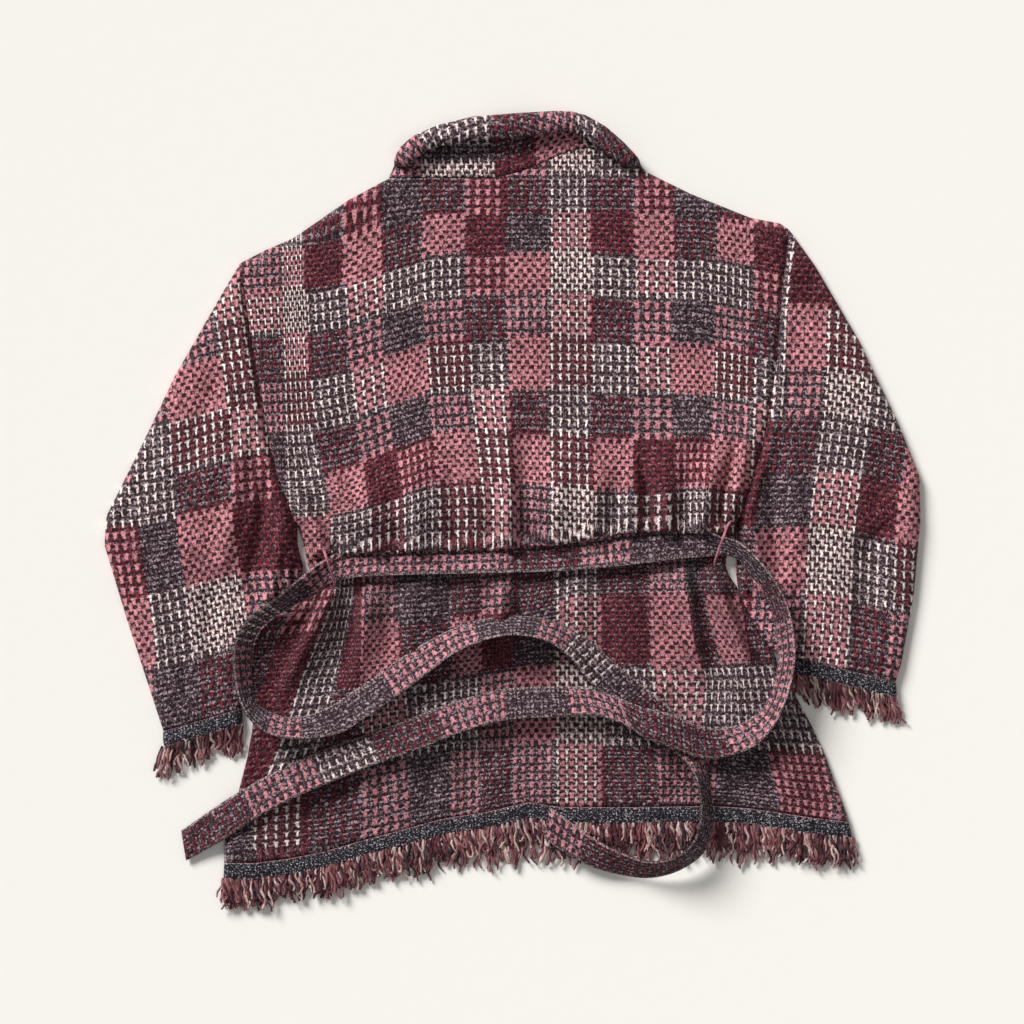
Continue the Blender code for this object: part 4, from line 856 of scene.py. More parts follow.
def sleeve_ring(side, share):
    """Plan points of one ring of a sleeve and which of them lie on top."""
    outer, inner = (along(edge[side], 1001)[round(share * 1000)]
                    for edge in (SLEEVE_OUTER, SLEEVE_INNER))
    shares, edge = armhole_table(side)
    shares = shares / shares[-1]
    bow = edge - (edge[0] + (edge[-1] - edge[0]) * shares)
    over = edge_crowded(SLEEVE_OVER, 1 / (SLEEVE_OVER - 1))
    under = edge_crowded(SLEEVE_UNDER, 1 / (SLEEVE_UNDER - 1))[::-1][1:-1]
    ring = np.concatenate([over, under])
    points = outer + (inner - outer) * ring[:, None]
    points[:, 0] += np.interp(ring, shares, bow) * (1 - share) ** 3
    return points, len(over)


def make_sleeve(side):
    """One sleeve, and its last ring for the cuff."""
    rings = []
    steps = np.concatenate([[0.0, 0.004, 0.01, 0.018], np.linspace(0.028, 1.0, SLEEVE_RINGS)])
    for share in steps:
        points, over = sleeve_ring(side, share)
        height = np.concatenate([fine_height(points[:over]), under_height(points[over:])])
        if share == 0.0:
            points = points + (SEAM / 2 if side else -SEAM / 2, 0)
        rings.append(np.column_stack([points, height]))
    grid = np.array(rings)
    normals = tube_normals(grid)
    corner, top = UNDERARM[side], SHOULDER_POINTS[side]
    normals[0] = ring_normals(grid[0], (corner[1] - top[1], top[0] - corner[0], 0))
    normals[-1] = ring_normals(grid[-1], (*CUFF_WAY[side], 0))
    piece = thick(f"sleeve_{NAMES[side]}_cloth", grid, normals,
                  sleeve_weave(grid[..., :2], side), around=True)
    return piece, grid[-1], normals[-1]


def band_weave(across, reach):
    """Threads of a band: along it, and down from its seam."""
    return np.stack([across / 4.0, np.broadcast_to(reach[:, None] / 4.0, across.shape)], axis=-1)


def make_cuff(side, ring, normals):
    """The dark band round a cuff."""
    way = np.array([*CUFF_WAY[side], 0.0])
    reaches = np.linspace(SEAM, BAND_WIDTH, BAND_ROWS)
    rows = []
    for reach in reaches:
        bulge = BAND_BULGE * math.sin(math.pi * (reach - SEAM) / (BAND_WIDTH - SEAM))
        rows.append(ring + way * reach + normals * bulge)
    grid = np.array(rows)
    grid[..., 2] = np.maximum(grid[..., 2], 0.0)
    return thick(f"cuff_band_{NAMES[side]}_cloth", grid, np.array([normals] * BAND_ROWS),
                 band_weave(grid[..., 0], reaches), around=True)


def make_hem(panel, side=None):
    """A dark band along the hem of the back (panel 1) or of a front (panel 2)."""
    at_back = panel == 1
    shares = edge_crowded(132, 1 / 131) if at_back else edge_crowded(60, 1 / 59, (False, True))
    centre = CENTRE_FRONT + (SEAM / 2 if side else -SEAM / 2)
    reaches = np.linspace(SEAM / 2, BAND_WIDTH, BAND_ROWS)
    rows = []
    for reach in reaches:
        def down_at(across, reach=reach):
            return column(HEM, across, panel) + reach
        rows.append(body_row(down_at, shares) if at_back
                    else front_row(side, centre, shares, down_at))
    flat = np.array(rows)
    if at_back:
        bulge = BAND_BULGE * np.sin(np.pi * np.linspace(0, 1, BAND_ROWS))[:, None]
        span = (EQUATOR + SEAM_HALF, 99)
        grid = np.dstack([flat, np.maximum(fine_height(flat) + bulge, span[0])])
        normals = without(up_normals(grid), (0, 1, 0))
        normals[:, 0] = level(normals[:, 0])
    else:
        span = (0.0, EQUATOR - SEAM_HALF)
        grid = np.dstack([flat, np.minimum(under_height(flat), span[1])])
        normals = without(-up_normals(grid), (0, 1, 0))
        normals[:, 0] = without(normals[:, 0], (1, 0, 0))
    normals[:, -1] = level(normals[:, -1])
    name = "hem_band_back_cloth" if at_back else f"hem_band_front_{NAMES[side]}_cloth"
    weave = band_weave(flat[..., 0], reaches)
    return thick(name, grid, normals, weave, span=span), grid[-1]


# ---------------------------------------------------------------- collar

def make_collar():
    """The collar: rolled over at the back, a plain band at the front."""
    seam = along(NECK_BACK, 86)
    front = along(tuple(reversed(NECK_FRONT)), 70)[1:-1]
    loop = np.vstack([seam, front])
    roll = plan(COLLAR_ROLL)
    section = smooth_line(COLLAR_SECTION, 34)
    rows, lengths = [], []
    for index, spot in enumerate(loop):
        share = (spot[0] - NECK_LEFT) / NECK_WIDTH
        spots = [np.interp(share, roll[:, 0], roll[:, k]) for k in (1, 2, 3, 4)]
        top, edge = np.array(spots[:2]) + (0.0, 2.2), np.array(spots[2:])
        base = spot - (0.0, SEAM + 0.35)
        rise = top - base
        reach = min(COLLAR_FRONT_REACH / np.linalg.norm(rise), 0.94)
        at_back = index < len(seam)
        if at_back:
            near = min(share, 1 - share) * NECK_WIDTH
            backness = float(soft(0.5 + near / 14.0))
            height = EQUATOR + rounded(np.array(near), 8.4)
        else:
            near = min(np.linalg.norm(spot - seam[0]), np.linalg.norm(spot - seam[-1]))
            backness = float(0.5 * soft(1 - near / 40.0))
            height = EQUATOR * float(soft(1 - near / 16.0))
        row = []
        for step, (up, over, lift) in enumerate(section):
            rolled = base + rise * up + (edge - top) * over
            plain = base + rise * reach * step / (len(section) - 1)
            place = rolled * backness + plain * (1 - backness)
            low = height * max(0.0, 1 - step / 12) if not at_back else height
            row.append((*place, max(0.0, low + lift * min(1.0, backness * 1.1))))
        rows.append(row)
        lengths.append(spot[0] - NECK_LEFT if at_back else NECK_RIGHT - spot[0] + NECK_WIDTH)
    grid = np.array(rows)
    climb = np.linalg.norm(np.diff(grid, axis=1), axis=2).cumsum(axis=1)
    weave = np.zeros((*grid.shape[:2], 2))
    weave[..., 0] = np.array(lengths)[:, None] / THREAD_ACROSS
    weave[:, 1:, 1] = climb / THREAD_DOWN
    normals = facing(grid, closed=True)
    if normals[43, 3, 2] < 0:           # the middle of the back, low on the stand
        normals = -normals
    grid, normals, weave = (np.vstack([part, part[:1]]) for part in (grid, normals, weave))
    weave[-1, :, 0] = 2 * NECK_WIDTH / THREAD_ACROSS
    return thick("collar_cloth", grid, normals, weave)


# ---------------------------------------------------------------- belt and its loops

BELT_FINE, BELT_FINE_ACROSS = 520, 12
BELT_THREADS = 3.1               # threads from edge to edge of the belt
GRIP, GRIP_FADE = (322, 722), 22 # the belt is drawn tight between these, and eases off so far
GRIP_LOW, TAIL_END = 572, 200    # the waist's lowest line, and the last step of the first tail
BELT_TUCK = 10.0                 # how far the belt's upper edge lies under the lip
BELT_TIP = 9.5                   # rise of the belt's lower edge at the waist


def make_belt():
    """The loose belt: one strip laid over the jacket, its edges lifted as it turns."""
    rows = smooth_line(BELT, BELT_FINE)
    first, second = rows[:, 0:2], rows[:, 2:4]
    rest, raised = rows[:, 4], rows[:, 5]
    across = rows[:, 0]
    at_waist = np.minimum(soft((across - GRIP[0]) / GRIP_FADE),
                          soft((GRIP[1] - across) / GRIP_FADE))
    on_belt = (first[:, 1] < GRIP_LOW) & (np.arange(BELT_FINE) > TAIL_END)
    on_belt &= between(across, (GRIP[0] - 2, GRIP[1] + 2))
    tuck = at_waist * on_belt * BELT_TUCK
    first = first - np.stack([np.zeros(BELT_FINE), tuck], axis=1)
    tip = BELT_TIP * at_waist * on_belt
    shares = np.linspace(0.0, 1.0, BELT_FINE_ACROSS)
    spots = [first + (second - first) * share for share in shares]
    under = np.array([ground(spot) for spot in spots])
    under = np.where(on_belt & (at_waist > 0.3), WAIST_LOW, under)
    for _ in range(6):
        wider = np.maximum(np.roll(under, 1, axis=1), np.roll(under, -1, axis=1))
        wider[:, 0], wider[:, -1] = under[:, 0], under[:, -1]
        under = np.maximum(under, 0.6 * wider + 0.4 * under)
    resting = under[-1] + rest
    heights = []
    for index, share in enumerate(shares):
        bow = 1.2 * math.sin(math.pi * share)
        straight = resting + raised * (1 - share) - bow * np.clip(raised / 16.0, 0, 1)
        straight = straight + tip * share ** 2
        heights.append(np.maximum(straight, under[index]) + BELT_CLEAR)
    heights = np.array(heights)
    for _ in range(14):
        blurred = heights.copy()
        blurred[:, 1:-1] = (heights[:, :-2] + 2 * heights[:, 1:-1] + heights[:, 2:]) / 4
        heights = np.maximum(blurred, under + BELT_CLEAR)
    lower = np.array([np.column_stack([spot, height]) for spot, height in zip(spots, heights)])
    lower = lower.transpose(1, 0, 2)
    normals = -up_normals(lower)
    middle = lower - normals * BELT_THICK / 2
    return belt_mesh(middle, -normals)


def belt_mesh(middle, up):
    """Wrap a rounded flat tube round the belt's middle surface."""
    steps = np.linalg.norm(np.diff(middle[:, BELT_FINE_ACROSS // 2], axis=0), axis=1)
    reach = np.concatenate([[0.0], np.cumsum(steps)])
    shares = np.linspace(0.0, 1.0, BELT_FINE_ACROSS)
    profile = np.sqrt(np.clip(1 - (2 * np.abs(shares - 0.5)) ** 10, 0.0, 1.0))
    seam = 0.45 * np.exp(-((np.minimum(shares, 1 - shares) - 0.12) / 0.035) ** 2)
    half = (BELT_THICK / 2 * (0.35 + 0.65 * profile) - seam)[None, :, None]
    over = middle + up * half
    beneath = middle - up * half
    ring = np.concatenate([over, beneath[:, ::-1]], axis=1)
    ring[..., 2] = np.maximum(ring[..., 2], 0.2)
    across = np.concatenate([shares, 1 + shares])
    weave = np.zeros((*ring.shape[:2], 2))
    weave[..., 0] = reach[:, None] / THREAD_ACROSS
    weave[..., 1] = across[None, :] * BELT_THREADS
    return woven_mesh("belt_cloth", lay(ring), weave, around=True)


def yarn_curve(name, yarns, radius, looks):
    """Many tapered yarns as one mesh. Each yarn: points, thickness share, look number."""
    data = bpy.data.curves.new(name, "CURVE")
    data.dimensions = "3D"
    data.bevel_depth = radius * MM
    data.bevel_resolution = 1
    data.use_fill_caps = True
    data.resolution_u = 1
    for look in looks:
        data.materials.append(look)
    for points, radii, look in yarns:
        spline = data.splines.new("POLY")
        spline.points.add(len(points) - 1)
        for target, spot, share in zip(spline.points, lay(np.array(points)), radii):
            target.co = (*spot, 1.0)
            target.radius = share
        spline.material_index = look
        spline.use_smooth = True
    curve = add_object(name + "_curve", data)
    graph = bpy.context.evaluated_depsgraph_get()
    mesh = bpy.data.meshes.new_from_object(curve.evaluated_get(graph))
    bpy.data.objects.remove(curve, do_unlink=True)
    bpy.data.curves.remove(data)
    return add_object(name, mesh)


def make_loop(name, rows, looks):
    """A thread loop: three plies of thread twisted over the belt."""
    path = smooth_line(rows, 40)
    path[:, 2] = np.maximum(path[:, 2], ground(path[:, :2]) + LOOP_THREAD + 0.4)
    yarns = []
    for ply in (0, 1, 2):
        turn = np.arange(40) * 0.85 + ply * 2.1
        twist = np.stack([np.cos(turn), 0.4 * np.sin(turn), np.sin(turn)], axis=1) * 0.75
        yarns.append((path + twist, [1.0] * 40, 0))
    return yarn_curve(name, yarns, 0.75, looks)


# ---------------------------------------------------------------- fringe

SHEET_FLOOR, BACK_FLOOR = 1.1, 3.4   # yarns come to rest on the sheet, or on the fronts' fringe


def strand(root, way, reach, generator, floor, lift):
    """One frayed yarn: it leaves the band, sinks and waves, or turns back as a loop."""
    count = 8
    points, radii = [], []
    turned = generator.random() < 0.22
    side = generator.uniform(-0.3, 0.3)
    bend = generator.uniform(-1.0, 1.0)
    phase = generator.uniform(0, 6.28)
    curl = generator.uniform(0.9, 2.7)
    fat = generator.uniform(0.75, 1.3)
    opening = generator.uniform(-7.0, 7.0)
    for step in range(count):
        share = step / (count - 1)
        forward = reach * (0.85 * math.sin(math.pi * share) if turned else share)
        sway = side * forward + curl * math.sin(phase + share * 9.0) * min(1.0, share * 3)
        sway += opening * share if turned else bend * 4.0 * share ** 2
        sunk = min(1.0, forward / 14.0)
        rise = lift * math.sin(math.pi * share) - (root[2] - floor) * sunk
        spot = (root[0] + way[0] * forward + way[1] * sway,
                root[1] + way[1] * forward - way[0] * sway * 0.4,
                max(root[2] + rise + 0.8 * math.cos(phase + share * 8.0), floor))
        points.append(spot)
        radii.append(fat * (1.0 + 0.18 * math.sin(phase + share * 14.0) - 0.25 * share ** 4))
    return points, radii


def yarn_look(generator, across, layer):
    """Which yarn frays out here: pink, wine, cream or charcoal. The lower layer takes mostly the
    dark ones, as painted shade under the upper layer.
    """
    lean = math.sin(across / 21.0) + 0.6 * math.sin(across / 8.3 + 2)
    pick = generator.random() + 0.16 * lean
    # Painted shade: the lower layer (1) picks mostly wine and charcoal, the upper layer (0) mostly
    # pink and cream.
    pink, wine, cream = (0.40, 0.62, 0.94) if layer == 0 else (0.16, 0.60, 0.68)
    return 0 if pick < pink else 1 if pick < wine else 2 if pick < cream else 3


def make_fringe(name, roots, way, looks, seed, floor=SHEET_FLOOR, layers=1):
    """Frayed yarns along a line of roots, in uneven bunches."""
    generator = random.Random(seed)
    yarns = []
    for layer in range(layers):
        for root in roots:
            bunch = 3.0 * math.sin(root[0] / 5.1) + 2.5 * math.sin(root[0] / 13.0 + 1)
            spot = (root[0] + generator.uniform(-1.3, 1.3), root[1] - 1.5,
                    root[2] - 0.5 - 1.2 * layer)
            reach = generator.uniform(22, 31) + bunch - 1.5 * layer
            low = floor + generator.uniform(0.0, 3.2)
            points, radii = strand(spot, way, reach, generator, low, generator.uniform(0, 2.5))
            yarns.append((points, radii, yarn_look(generator, root[0], layer)))
    return yarn_curve(name, yarns, 1.22, looks)


# ---------------------------------------------------------------- materials

class Value:
    """A socket of a material that can be added, multiplied and compared like a number."""

    def __init__(self, look, socket):
        self.look, self.socket = look, socket

    def join(self, operation, *others):
        return self.look.node("ShaderNodeMath", {"operation": operation}, {
            index: value for index, value in enumerate((self, *others))})

    def __add__(self, other):
        return self.join("ADD", other)

    __radd__ = __add__

    def __sub__(self, other):
        return self.join("SUBTRACT", other)

    def __rsub__(self, other):
        return self.look.node("ShaderNodeMath", {"operation": "SUBTRACT"}, {0: other, 1: self})

    def __mul__(self, other):
        return self.join("MULTIPLY", other)

    __rmul__ = __mul__

    def __truediv__(self, other):
        return self.join("DIVIDE", other)

    def __abs__(self):
        return self.join("ABSOLUTE")

    def __gt__(self, other):
        return self.join("GREATER_THAN", other)

    def __lt__(self, other):
        return self.join("LESS_THAN", other)

    def part(self):
        return self.join("FRACT")

    def whole(self):
        return self.join("FLOOR")

    def wave(self):
        return self.join("SINE")

    def most(self, other):
        return self.join("MAXIMUM", other)

    def ramp(self, low, high, start=0.0, end=1.0):
        return self.look.node("ShaderNodeMapRange", {"interpolation_type": "SMOOTHSTEP"}, {
            0: self, 1: low, 2: high, 3: start, 4: end})


class Look:
    """One material and its nodes."""

    def __init__(self, name):
        self.material = bpy.data.materials.new(name)
        self.material.use_nodes = True
        self.tree = self.material.node_tree
        self.shader = self.tree.nodes["Principled BSDF"]

    def node(self, kind, settings=None, values=None, output=0):
        """Add any node: its settings first, then the values or links of its sockets."""
        made = self.tree.nodes.new(kind)
        for key, setting in (settings or {}).items():
            if key == "stops":
                self.stops(made.color_ramp, setting)
            else:
                setattr(made, key, setting)
        self.fill(made, values or {})
        return Value(self, made.outputs[output])

    def fill(self, made, values):
        """Set or link the sockets of a node."""
        for key, value in values.items():
            if isinstance(value, Value):
                self.tree.links.new(value.socket, made.inputs[key])
            else:
                made.inputs[key].default_value = value

    @staticmethod
    def stops(ramp, stops):
        ramp.elements.remove(ramp.elements[-1])
        for index, (place, colour) in enumerate(stops):
            stop = ramp.elements[0] if index == 0 else ramp.elements.new(place)
            stop.position = place
            stop.color = (*colour, 1.0)

    def blend(self, share, first, second, mode="MIX"):
        return self.node("ShaderNodeMix", {"data_type": "RGBA", "blend_type": mode}, {
            0: share, 6: colour_value(first), 7: colour_value(second)}, output=2)

    def weave(self):
        """Threads across and down, from the piece's own weave map."""
        return self.parts(self.node("ShaderNodeUVMap", {"uv_map": "weave"}))[:2]

    def place(self):
        """Where a point of the piece is."""
        return self.node("ShaderNodeTexCoord", output=3)

    def parts(self, vector):
        """The three parts of a vector."""
        split = self.node("ShaderNodeSeparateXYZ", None, {0: vector}).socket.node
        return [Value(self, socket) for socket in split.outputs]

    def channel(self, colour, index):
        """Red, green or blue of a colour."""
        return self.node("ShaderNodeSeparateColor", None, {0: colour}, index)

    def noise(self, where, scale, detail=2.0, roughness=0.5, output=0):
        return self.node("ShaderNodeTexNoise", {"noise_dimensions": "3D"}, {
            "Vector": where, "Scale": scale, "Detail": detail, "Roughness": roughness}, output)

    def vector(self, first, second, third=0.0):
        return self.node("ShaderNodeCombineXYZ", None, {0: first, 1: second, 2: third})

    def dots(self, first, second, seed):
        """A random value for each whole pair of threads."""
        return self.node("ShaderNodeTexWhiteNoise", {"noise_dimensions": "3D"}, {
            "Vector": self.vector(first, second, seed)})

    def finish(self, colour, height, depth, sheen=0.05):
        """Give the material its colour, bump and dull woolly surface."""
        bump = self.node("ShaderNodeBump", None, {
            "Strength": 0.85, "Distance": depth, "Height": height})
        self.fill(self.shader, {
            "Base Color": colour, "Normal": bump, "Roughness": 0.95, "Specular IOR Level": 0.18,
            "Sheen Weight": sheen, "Sheen Roughness": 0.6, "Sheen Tint": (0.85, 0.72, 0.74, 1.0)})
        return self.material


def colour_value(colour):
    return colour if isinstance(colour, Value) else (*colour, 1.0)


# Wool yarns. A check is woven from a pair of them: the long stitches, and the stitches
# set between those. The letters below name the pairs.
CREAM = (0.86, 0.72, 0.69)
PINK = (0.575, 0.23, 0.265)
WINE = (0.135, 0.017, 0.027)
CHARCOAL = (0.056, 0.036, 0.045)
GROUND = (0.017, 0.006, 0.009)
FLECK = (0.33, 0.255, 0.285)
NAVY = (0.030, 0.029, 0.038)
PAIRS = {
    "c": (CHARCOAL, CHARCOAL), "b": (WINE, WINE), "p": (PINK, PINK), "x": (WINE, CHARCOAL),
    "m": (PINK, CHARCOAL), "r": (PINK, WINE), "w": (CREAM, CHARCOAL), "v": (CREAM, WINE),
    "q": (CREAM, PINK), "W": (CREAM, CREAM),
}
# Checks: left edges of the columns and top edges of the rows in threads, then the pairs of
# each row. Each chart ends at its piece's edges.
BODY_CHECKS = (
    (-16, -11, -5, 0, 5, 9, 14, 19, 23, 28, 33, 38, 42, 47, 52, 56, 61, 66),
    (-8, 0, 4, 8, 12, 16, 21, 25, 30, 40),
    ("mcwwvwvqmWwvwvqmW", "bmwxrcxrxwxrcxrxw", "bmqbpxpbcqbpxpbcq", "mqWwqwwrpWwqwwrpW",
     "mxqxmcmxmqxmcmxmq", "rmvwqpvwpvwqpvwpv", "pcwxmcmqxwxmcmqxw", "rcwpbrpvpvpbrpvpv",
     "mrpwvwvqmWwvwvqmW"),
)
SKIRT_CHECKS = (
    (0, 5, 10, 15, 20, 25, 30, 34, 38, 43, 48, 54, 59, 62, 67, 73, 79), (-6, 5, 12, 19, 32),
    ("xrwbmcxmxwxmcxmm", "xbwbpxpbcqbpxpxp", "xbwxqwwmpWwqwwwq", "mcvxmcmxmqxmmcrm"),
)
LEFT_CHECKS = (
    (-6, 0, 4.8, 11.2, 16.2, 24), (20, 26.2, 30, 33, 37.4, 41.6, 46, 52.2, 58.6, 70),
    ("ppmpw", "cpmqx", "mpmvc", "mmpvc", "mwvqm", "wwxrx", "rcpbb", "pwWmm", "mcxmc"),
)
RIGHT_CHECKS = (
    (-14, -5.6, -4.2, 0, 5.6, 10.2, 17), (16, 28, 33.5, 37.9, 42.6, 47.7, 53.8, 64),
    ("bwbbbb", "rwpvpp", "rwmWww", "bxxwxp", "bccqbp", "xppWwv", "rmmqxm"),
)
COLLAR_CHECKS = (
    (0, 3.9, 12, 16.8, 21.8, 24.7, 29.3, 60), (-1, 1.7, 3.1, 30),
    ("mWbpwxc", "mcxpwxc", "mwxmwxc"),
)
BELT_CHECKS = (
    (0, 4.8, 16.5, 27, 30, 40, 44, 50, 54, 61, 72, 83, 87, 92, 98, 104, 108, 131, 139, 145, 163,
     168, 185, 196, 203, 210, 218, 227, 234, 243, 252), (-1, 9),
    ("mxcmxcwmcmcmcmwcmxmcxmxmcmxwmx",),
)


def check_pairs(look, spots, checks):
    """The colours of the long stitches and of the stitches set between them."""
    columns, rows, pairs = checks
    start, width = columns[0], columns[-1] - columns[0]
    colours = []
    for ply, (across, down) in enumerate(spots):
        place = (across - start) / width
        mixed = None
        for index, letters in enumerate(pairs):
            stops = [((columns[k] - start) / width, PAIRS[letter][ply])
                     for k, letter in enumerate(letters)]
            row = look.node("ShaderNodeValToRGB", {"stops": stops}, {0: place})
            row.socket.node.color_ramp.interpolation = "CONSTANT"
            mixed = row if mixed is None else look.blend(down > rows[index], mixed, row)
        colours.append(mixed)
    return colours


def stitch(across, down, wide, jump):
    """How much one stitch covers: a thin upright, broader at its top, with a short arm."""
    side = abs(across.part() - 0.5) * THREAD_ACROSS
    end = (down.part() - 0.5) * THREAD_DOWN
    half = wide * (1.0 + end.ramp(-1.0, -3.4, 0.0, 0.7) - end.ramp(0.5, 3.6, 0.0, 0.3))
    upright = (side / half).ramp(0.55, 1.25, 1.0, 0.0) * abs(end + jump).ramp(2.7, 4.3, 1.0, 0.0)
    arm = abs(across.part() * THREAD_ACROSS - 3.4).ramp(1.6, 3.0, 1.0, 0.0)
    return upright.most(arm * abs(end + 3.0).ramp(0.3, 1.3, 0.55, 0.0))


def tweed(name, checks, seed, tone_and_painted_shade=1.0, pale_edge_and_highlight=False):
    """Chunky checked wool: thin long stitches on a dark ground with pale flecks."""
    look = Look(name)
    across, down = look.weave()
    object_spot = look.place()
    bend = look.parts(look.noise(object_spot, 240.0, 1.0, output=1))
    u = across + (bend[0] - 0.5) * 0.30
    v = down + (bend[1] - 0.5) * 0.34
    u_short, v_short = u + 0.5, v + 0.5
    spots = ((u.whole() + 0.5, v.whole() + 0.5),
             (u_short.whole() + 0.001, v_short.whole() + 0.001))
    first, second = check_pairs(look, spots, checks)
    long_dot = look.dots(u.whole(), v.whole(), seed)
    short_dot = look.dots(u_short.whole(), v_short.whole(), seed + 3.0)
    pale, short_pale = look.channel(first, 1), look.channel(second, 1)
    rosy = (short_pale > 0.1) * (short_pale < 0.4)
    thin = 1.66 + (pale > 0.1) * 0.40 - (pale > 0.4) * 0.92
    long_mask = stitch(u, v, thin, (long_dot - 0.5) * 1.2)
    short_mask = stitch(u_short, v_short, 1.55 + rosy * 0.5, (short_dot - 0.5) * 1.2)
    grain = look.noise(object_spot, 520.0, 2.0, 0.85)
    patch = look.noise(object_spot, 34.0, 2.0, 0.5)
    u_dot = u * 2.0 + 0.25 + (bend[2] - 0.5) * 1.6
    v_dot = v * 2.0 + 0.3 + (bend[0] - 0.5) * 1.3
    dot_side = abs(u_dot.part() - 0.5) * (THREAD_ACROSS / 2)
    dot_end = abs(v_dot.part() - 0.5) * (THREAD_DOWN / 2)
    dot = dot_side.ramp(0.7, 2.0, 1.0, 0.12) * dot_end.ramp(0.5, 1.7, 1.0, 0.08)
    dot_shade = look.dots(u_dot.whole(), v_dot.whole(), seed + 7.0)
    light = (dot * (0.22 + dot_shade * 0.9) + (grain - 0.5) * 2.3).ramp(0.10, 0.85)
    wine = (look.channel(second, 0) > 0.12) * 0.8
    base = look.blend(light, GROUND, look.blend(wine, FLECK, (0.24, 0.085, 0.10)))
    # The last factor darkens a whole piece: partly an even tone of its yarn, partly painted shade
    # for a piece that lies in shade.
    shade = (0.40 + grain.ramp(0.33, 0.66) * 1.05 + (patch - 0.5) * 0.35) * tone_and_painted_shade
    long_colour, short_colour = (
        heather(look, plain, light, (low + part * 0.34) * shade)
        for plain, low, part in ((first, 0.86, long_dot), (second, 0.80, short_dot)))
    colour = look.blend(short_mask * grain.ramp(0.25, 0.5, 0.6, 1.0), base, short_colour)
    colour = look.blend(long_mask * grain.ramp(0.25, 0.5, 0.7, 1.0), colour, long_colour)
    hair = look.noise(look.vector(u * 17.0, v * 7.0, seed), 1.0, 1.0, 0.6)
    colour = look.blend(hair.ramp(0.60, 0.76) * 0.30, colour, first)
    colour = look.blend(hair.ramp(0.40, 0.28) * 0.40, colour, (0.010, 0.005, 0.008))
    # Pale streaks along the belt's two edges: partly its pale edge stitching, partly a painted
    # highlight where the raised edges catch the light.
    if pale_edge_and_highlight:
        edge = abs((down / BELT_THREADS).part() - 0.5).ramp(0.38, 0.47)
        colour = look.blend(edge * grain.ramp(0.46, 0.60) * 0.75, colour, (0.50, 0.37, 0.38))
    height = long_mask.most(short_mask * 0.7) + grain * 0.5 + dot * 0.25
    return look.finish(colour, height, depth=0.0012)


def heather(look, plain, light, shade):
    """A yarn's colour with its flecks: grey ones in charcoal, rosy ones in wine."""
    red = look.channel(plain, 0)
    colour = look.blend((red < 0.12) * light, plain, FLECK)
    colour = look.blend((red < 0.2) * (red > 0.12) * light * 0.34, colour, (0.34, 0.10, 0.125))
    return look.blend(1.0, colour, look.vector(shade, shade, shade), "MULTIPLY")


def heather_band(name):
    """The close dark wool of the hem and cuff bands."""
    look = Look(name)
    object_spot = look.place()
    across, down = look.weave()
    rib = abs((across * 1.25 + (down * 3.0).wave() * 0.04).part() - 0.5) * 2.0
    rung = abs((down * 1.6).part() - 0.5) * 2.0
    knit = rib.ramp(0.15, 0.9) * 0.6 + rung.ramp(0.1, 0.9) * 0.4
    fleck = look.noise(object_spot, 560.0, 1.0, 0.8)
    mist = look.noise(object_spot, 70.0, 1.0, 0.5)
    colour = look.blend(fleck.ramp(0.40, 0.54), (0.005, 0.004, 0.008), NAVY)
    colour = look.blend(fleck.ramp(0.56, 0.68) * (0.5 + mist * 0.5), colour, (0.52, 0.47, 0.52))
    colour = look.blend(down.ramp(0.28, 0.12) * fleck.ramp(0.3, 0.5), colour, (0.40, 0.19, 0.21))
    fibre = look.noise(object_spot, 1300.0, 1.0, 0.6)
    return look.finish(colour, knit * 0.6 + fleck + fibre * 0.3, depth=0.0011)


def yarn(name, colour, second):
    """A loose woollen yarn."""
    look = Look(name)
    object_spot = look.place()
    twist = look.noise(object_spot, 420.0, 2.0, 0.6)
    patch = look.noise(object_spot, 120.0, 1.0, 0.5)
    mixed = look.blend(patch.ramp(0.42, 0.66), colour, second)
    mixed = look.blend(twist.ramp(0.35, 0.7) * 0.45, mixed, tuple(0.45 * part for part in colour))
    fibre = look.noise(object_spot, 1600.0, 1.0, 0.6)
    return look.finish(mixed, twist + fibre * 0.5, sheen=0.08, depth=0.0008)


def plain_floor(name):
    """The pale sheet that the jacket lies on."""
    look = Look(name)
    grain = look.noise(look.place(), 60.0, 2.0)
    colour = look.blend(grain, (0.880, 0.868, 0.828), (0.890, 0.878, 0.840))
    return look.finish(colour, grain, depth=0.0001, sheen=0.0)


# ---------------------------------------------------------------- floor, light and camera

def set_stage():
    work = bmesh.new()
    bmesh.ops.create_grid(work, x_segments=1, y_segments=1, size=6.0)
    mesh = bpy.data.meshes.new("floor")
    work.to_mesh(mesh)
    work.free()
    floor = bpy.data.objects.new("floor", mesh)
    floor.location.z = -0.0004
    mesh.materials.append(plain_floor("pale_sheet"))
    bpy.context.scene.collection.objects.link(floor)


def add_light(name, place, size, power, colour):
    data = bpy.data.lights.new(name, "AREA")
    data.shape = "DISK"
    data.size = size
    data.energy = power
    data.color = colour
    light = bpy.data.objects.new(name, data)
    light.location = place
    light.rotation_euler = (-Vector(place)).to_track_quat("-Z", "Y").to_euler()
    bpy.context.scene.collection.objects.link(light)


def set_lights():
    world = bpy.data.worlds.new("soft_room")
    world.use_nodes = True
    world.node_tree.nodes["Background"].inputs[0].default_value = (1.0, 0.985, 0.96, 1.0)
    world.node_tree.nodes["Background"].inputs[1].default_value = 0.25
    bpy.context.scene.world = world
    data = bpy.data.lights.new("window", "SUN")
    data.energy = 4.45
    data.angle = math.radians(24)
    data.color = (1.0, 0.985, 0.965)
    window = bpy.data.objects.new("window", data)
    window.rotation_euler = Vector((0.68, -0.83, -0.66)).to_track_quat("-Z", "Y").to_euler()
    bpy.context.scene.collection.objects.link(window)
    add_light("fill", (1.2, -1.0, 4.5), 2.5, 18.0, (1.0, 0.98, 0.96))


PHOTO_MIDDLE = (512.0, 512.0)
PHOTO_WIDTH = 1.024
LENS, FILM = 200.0, 36.0


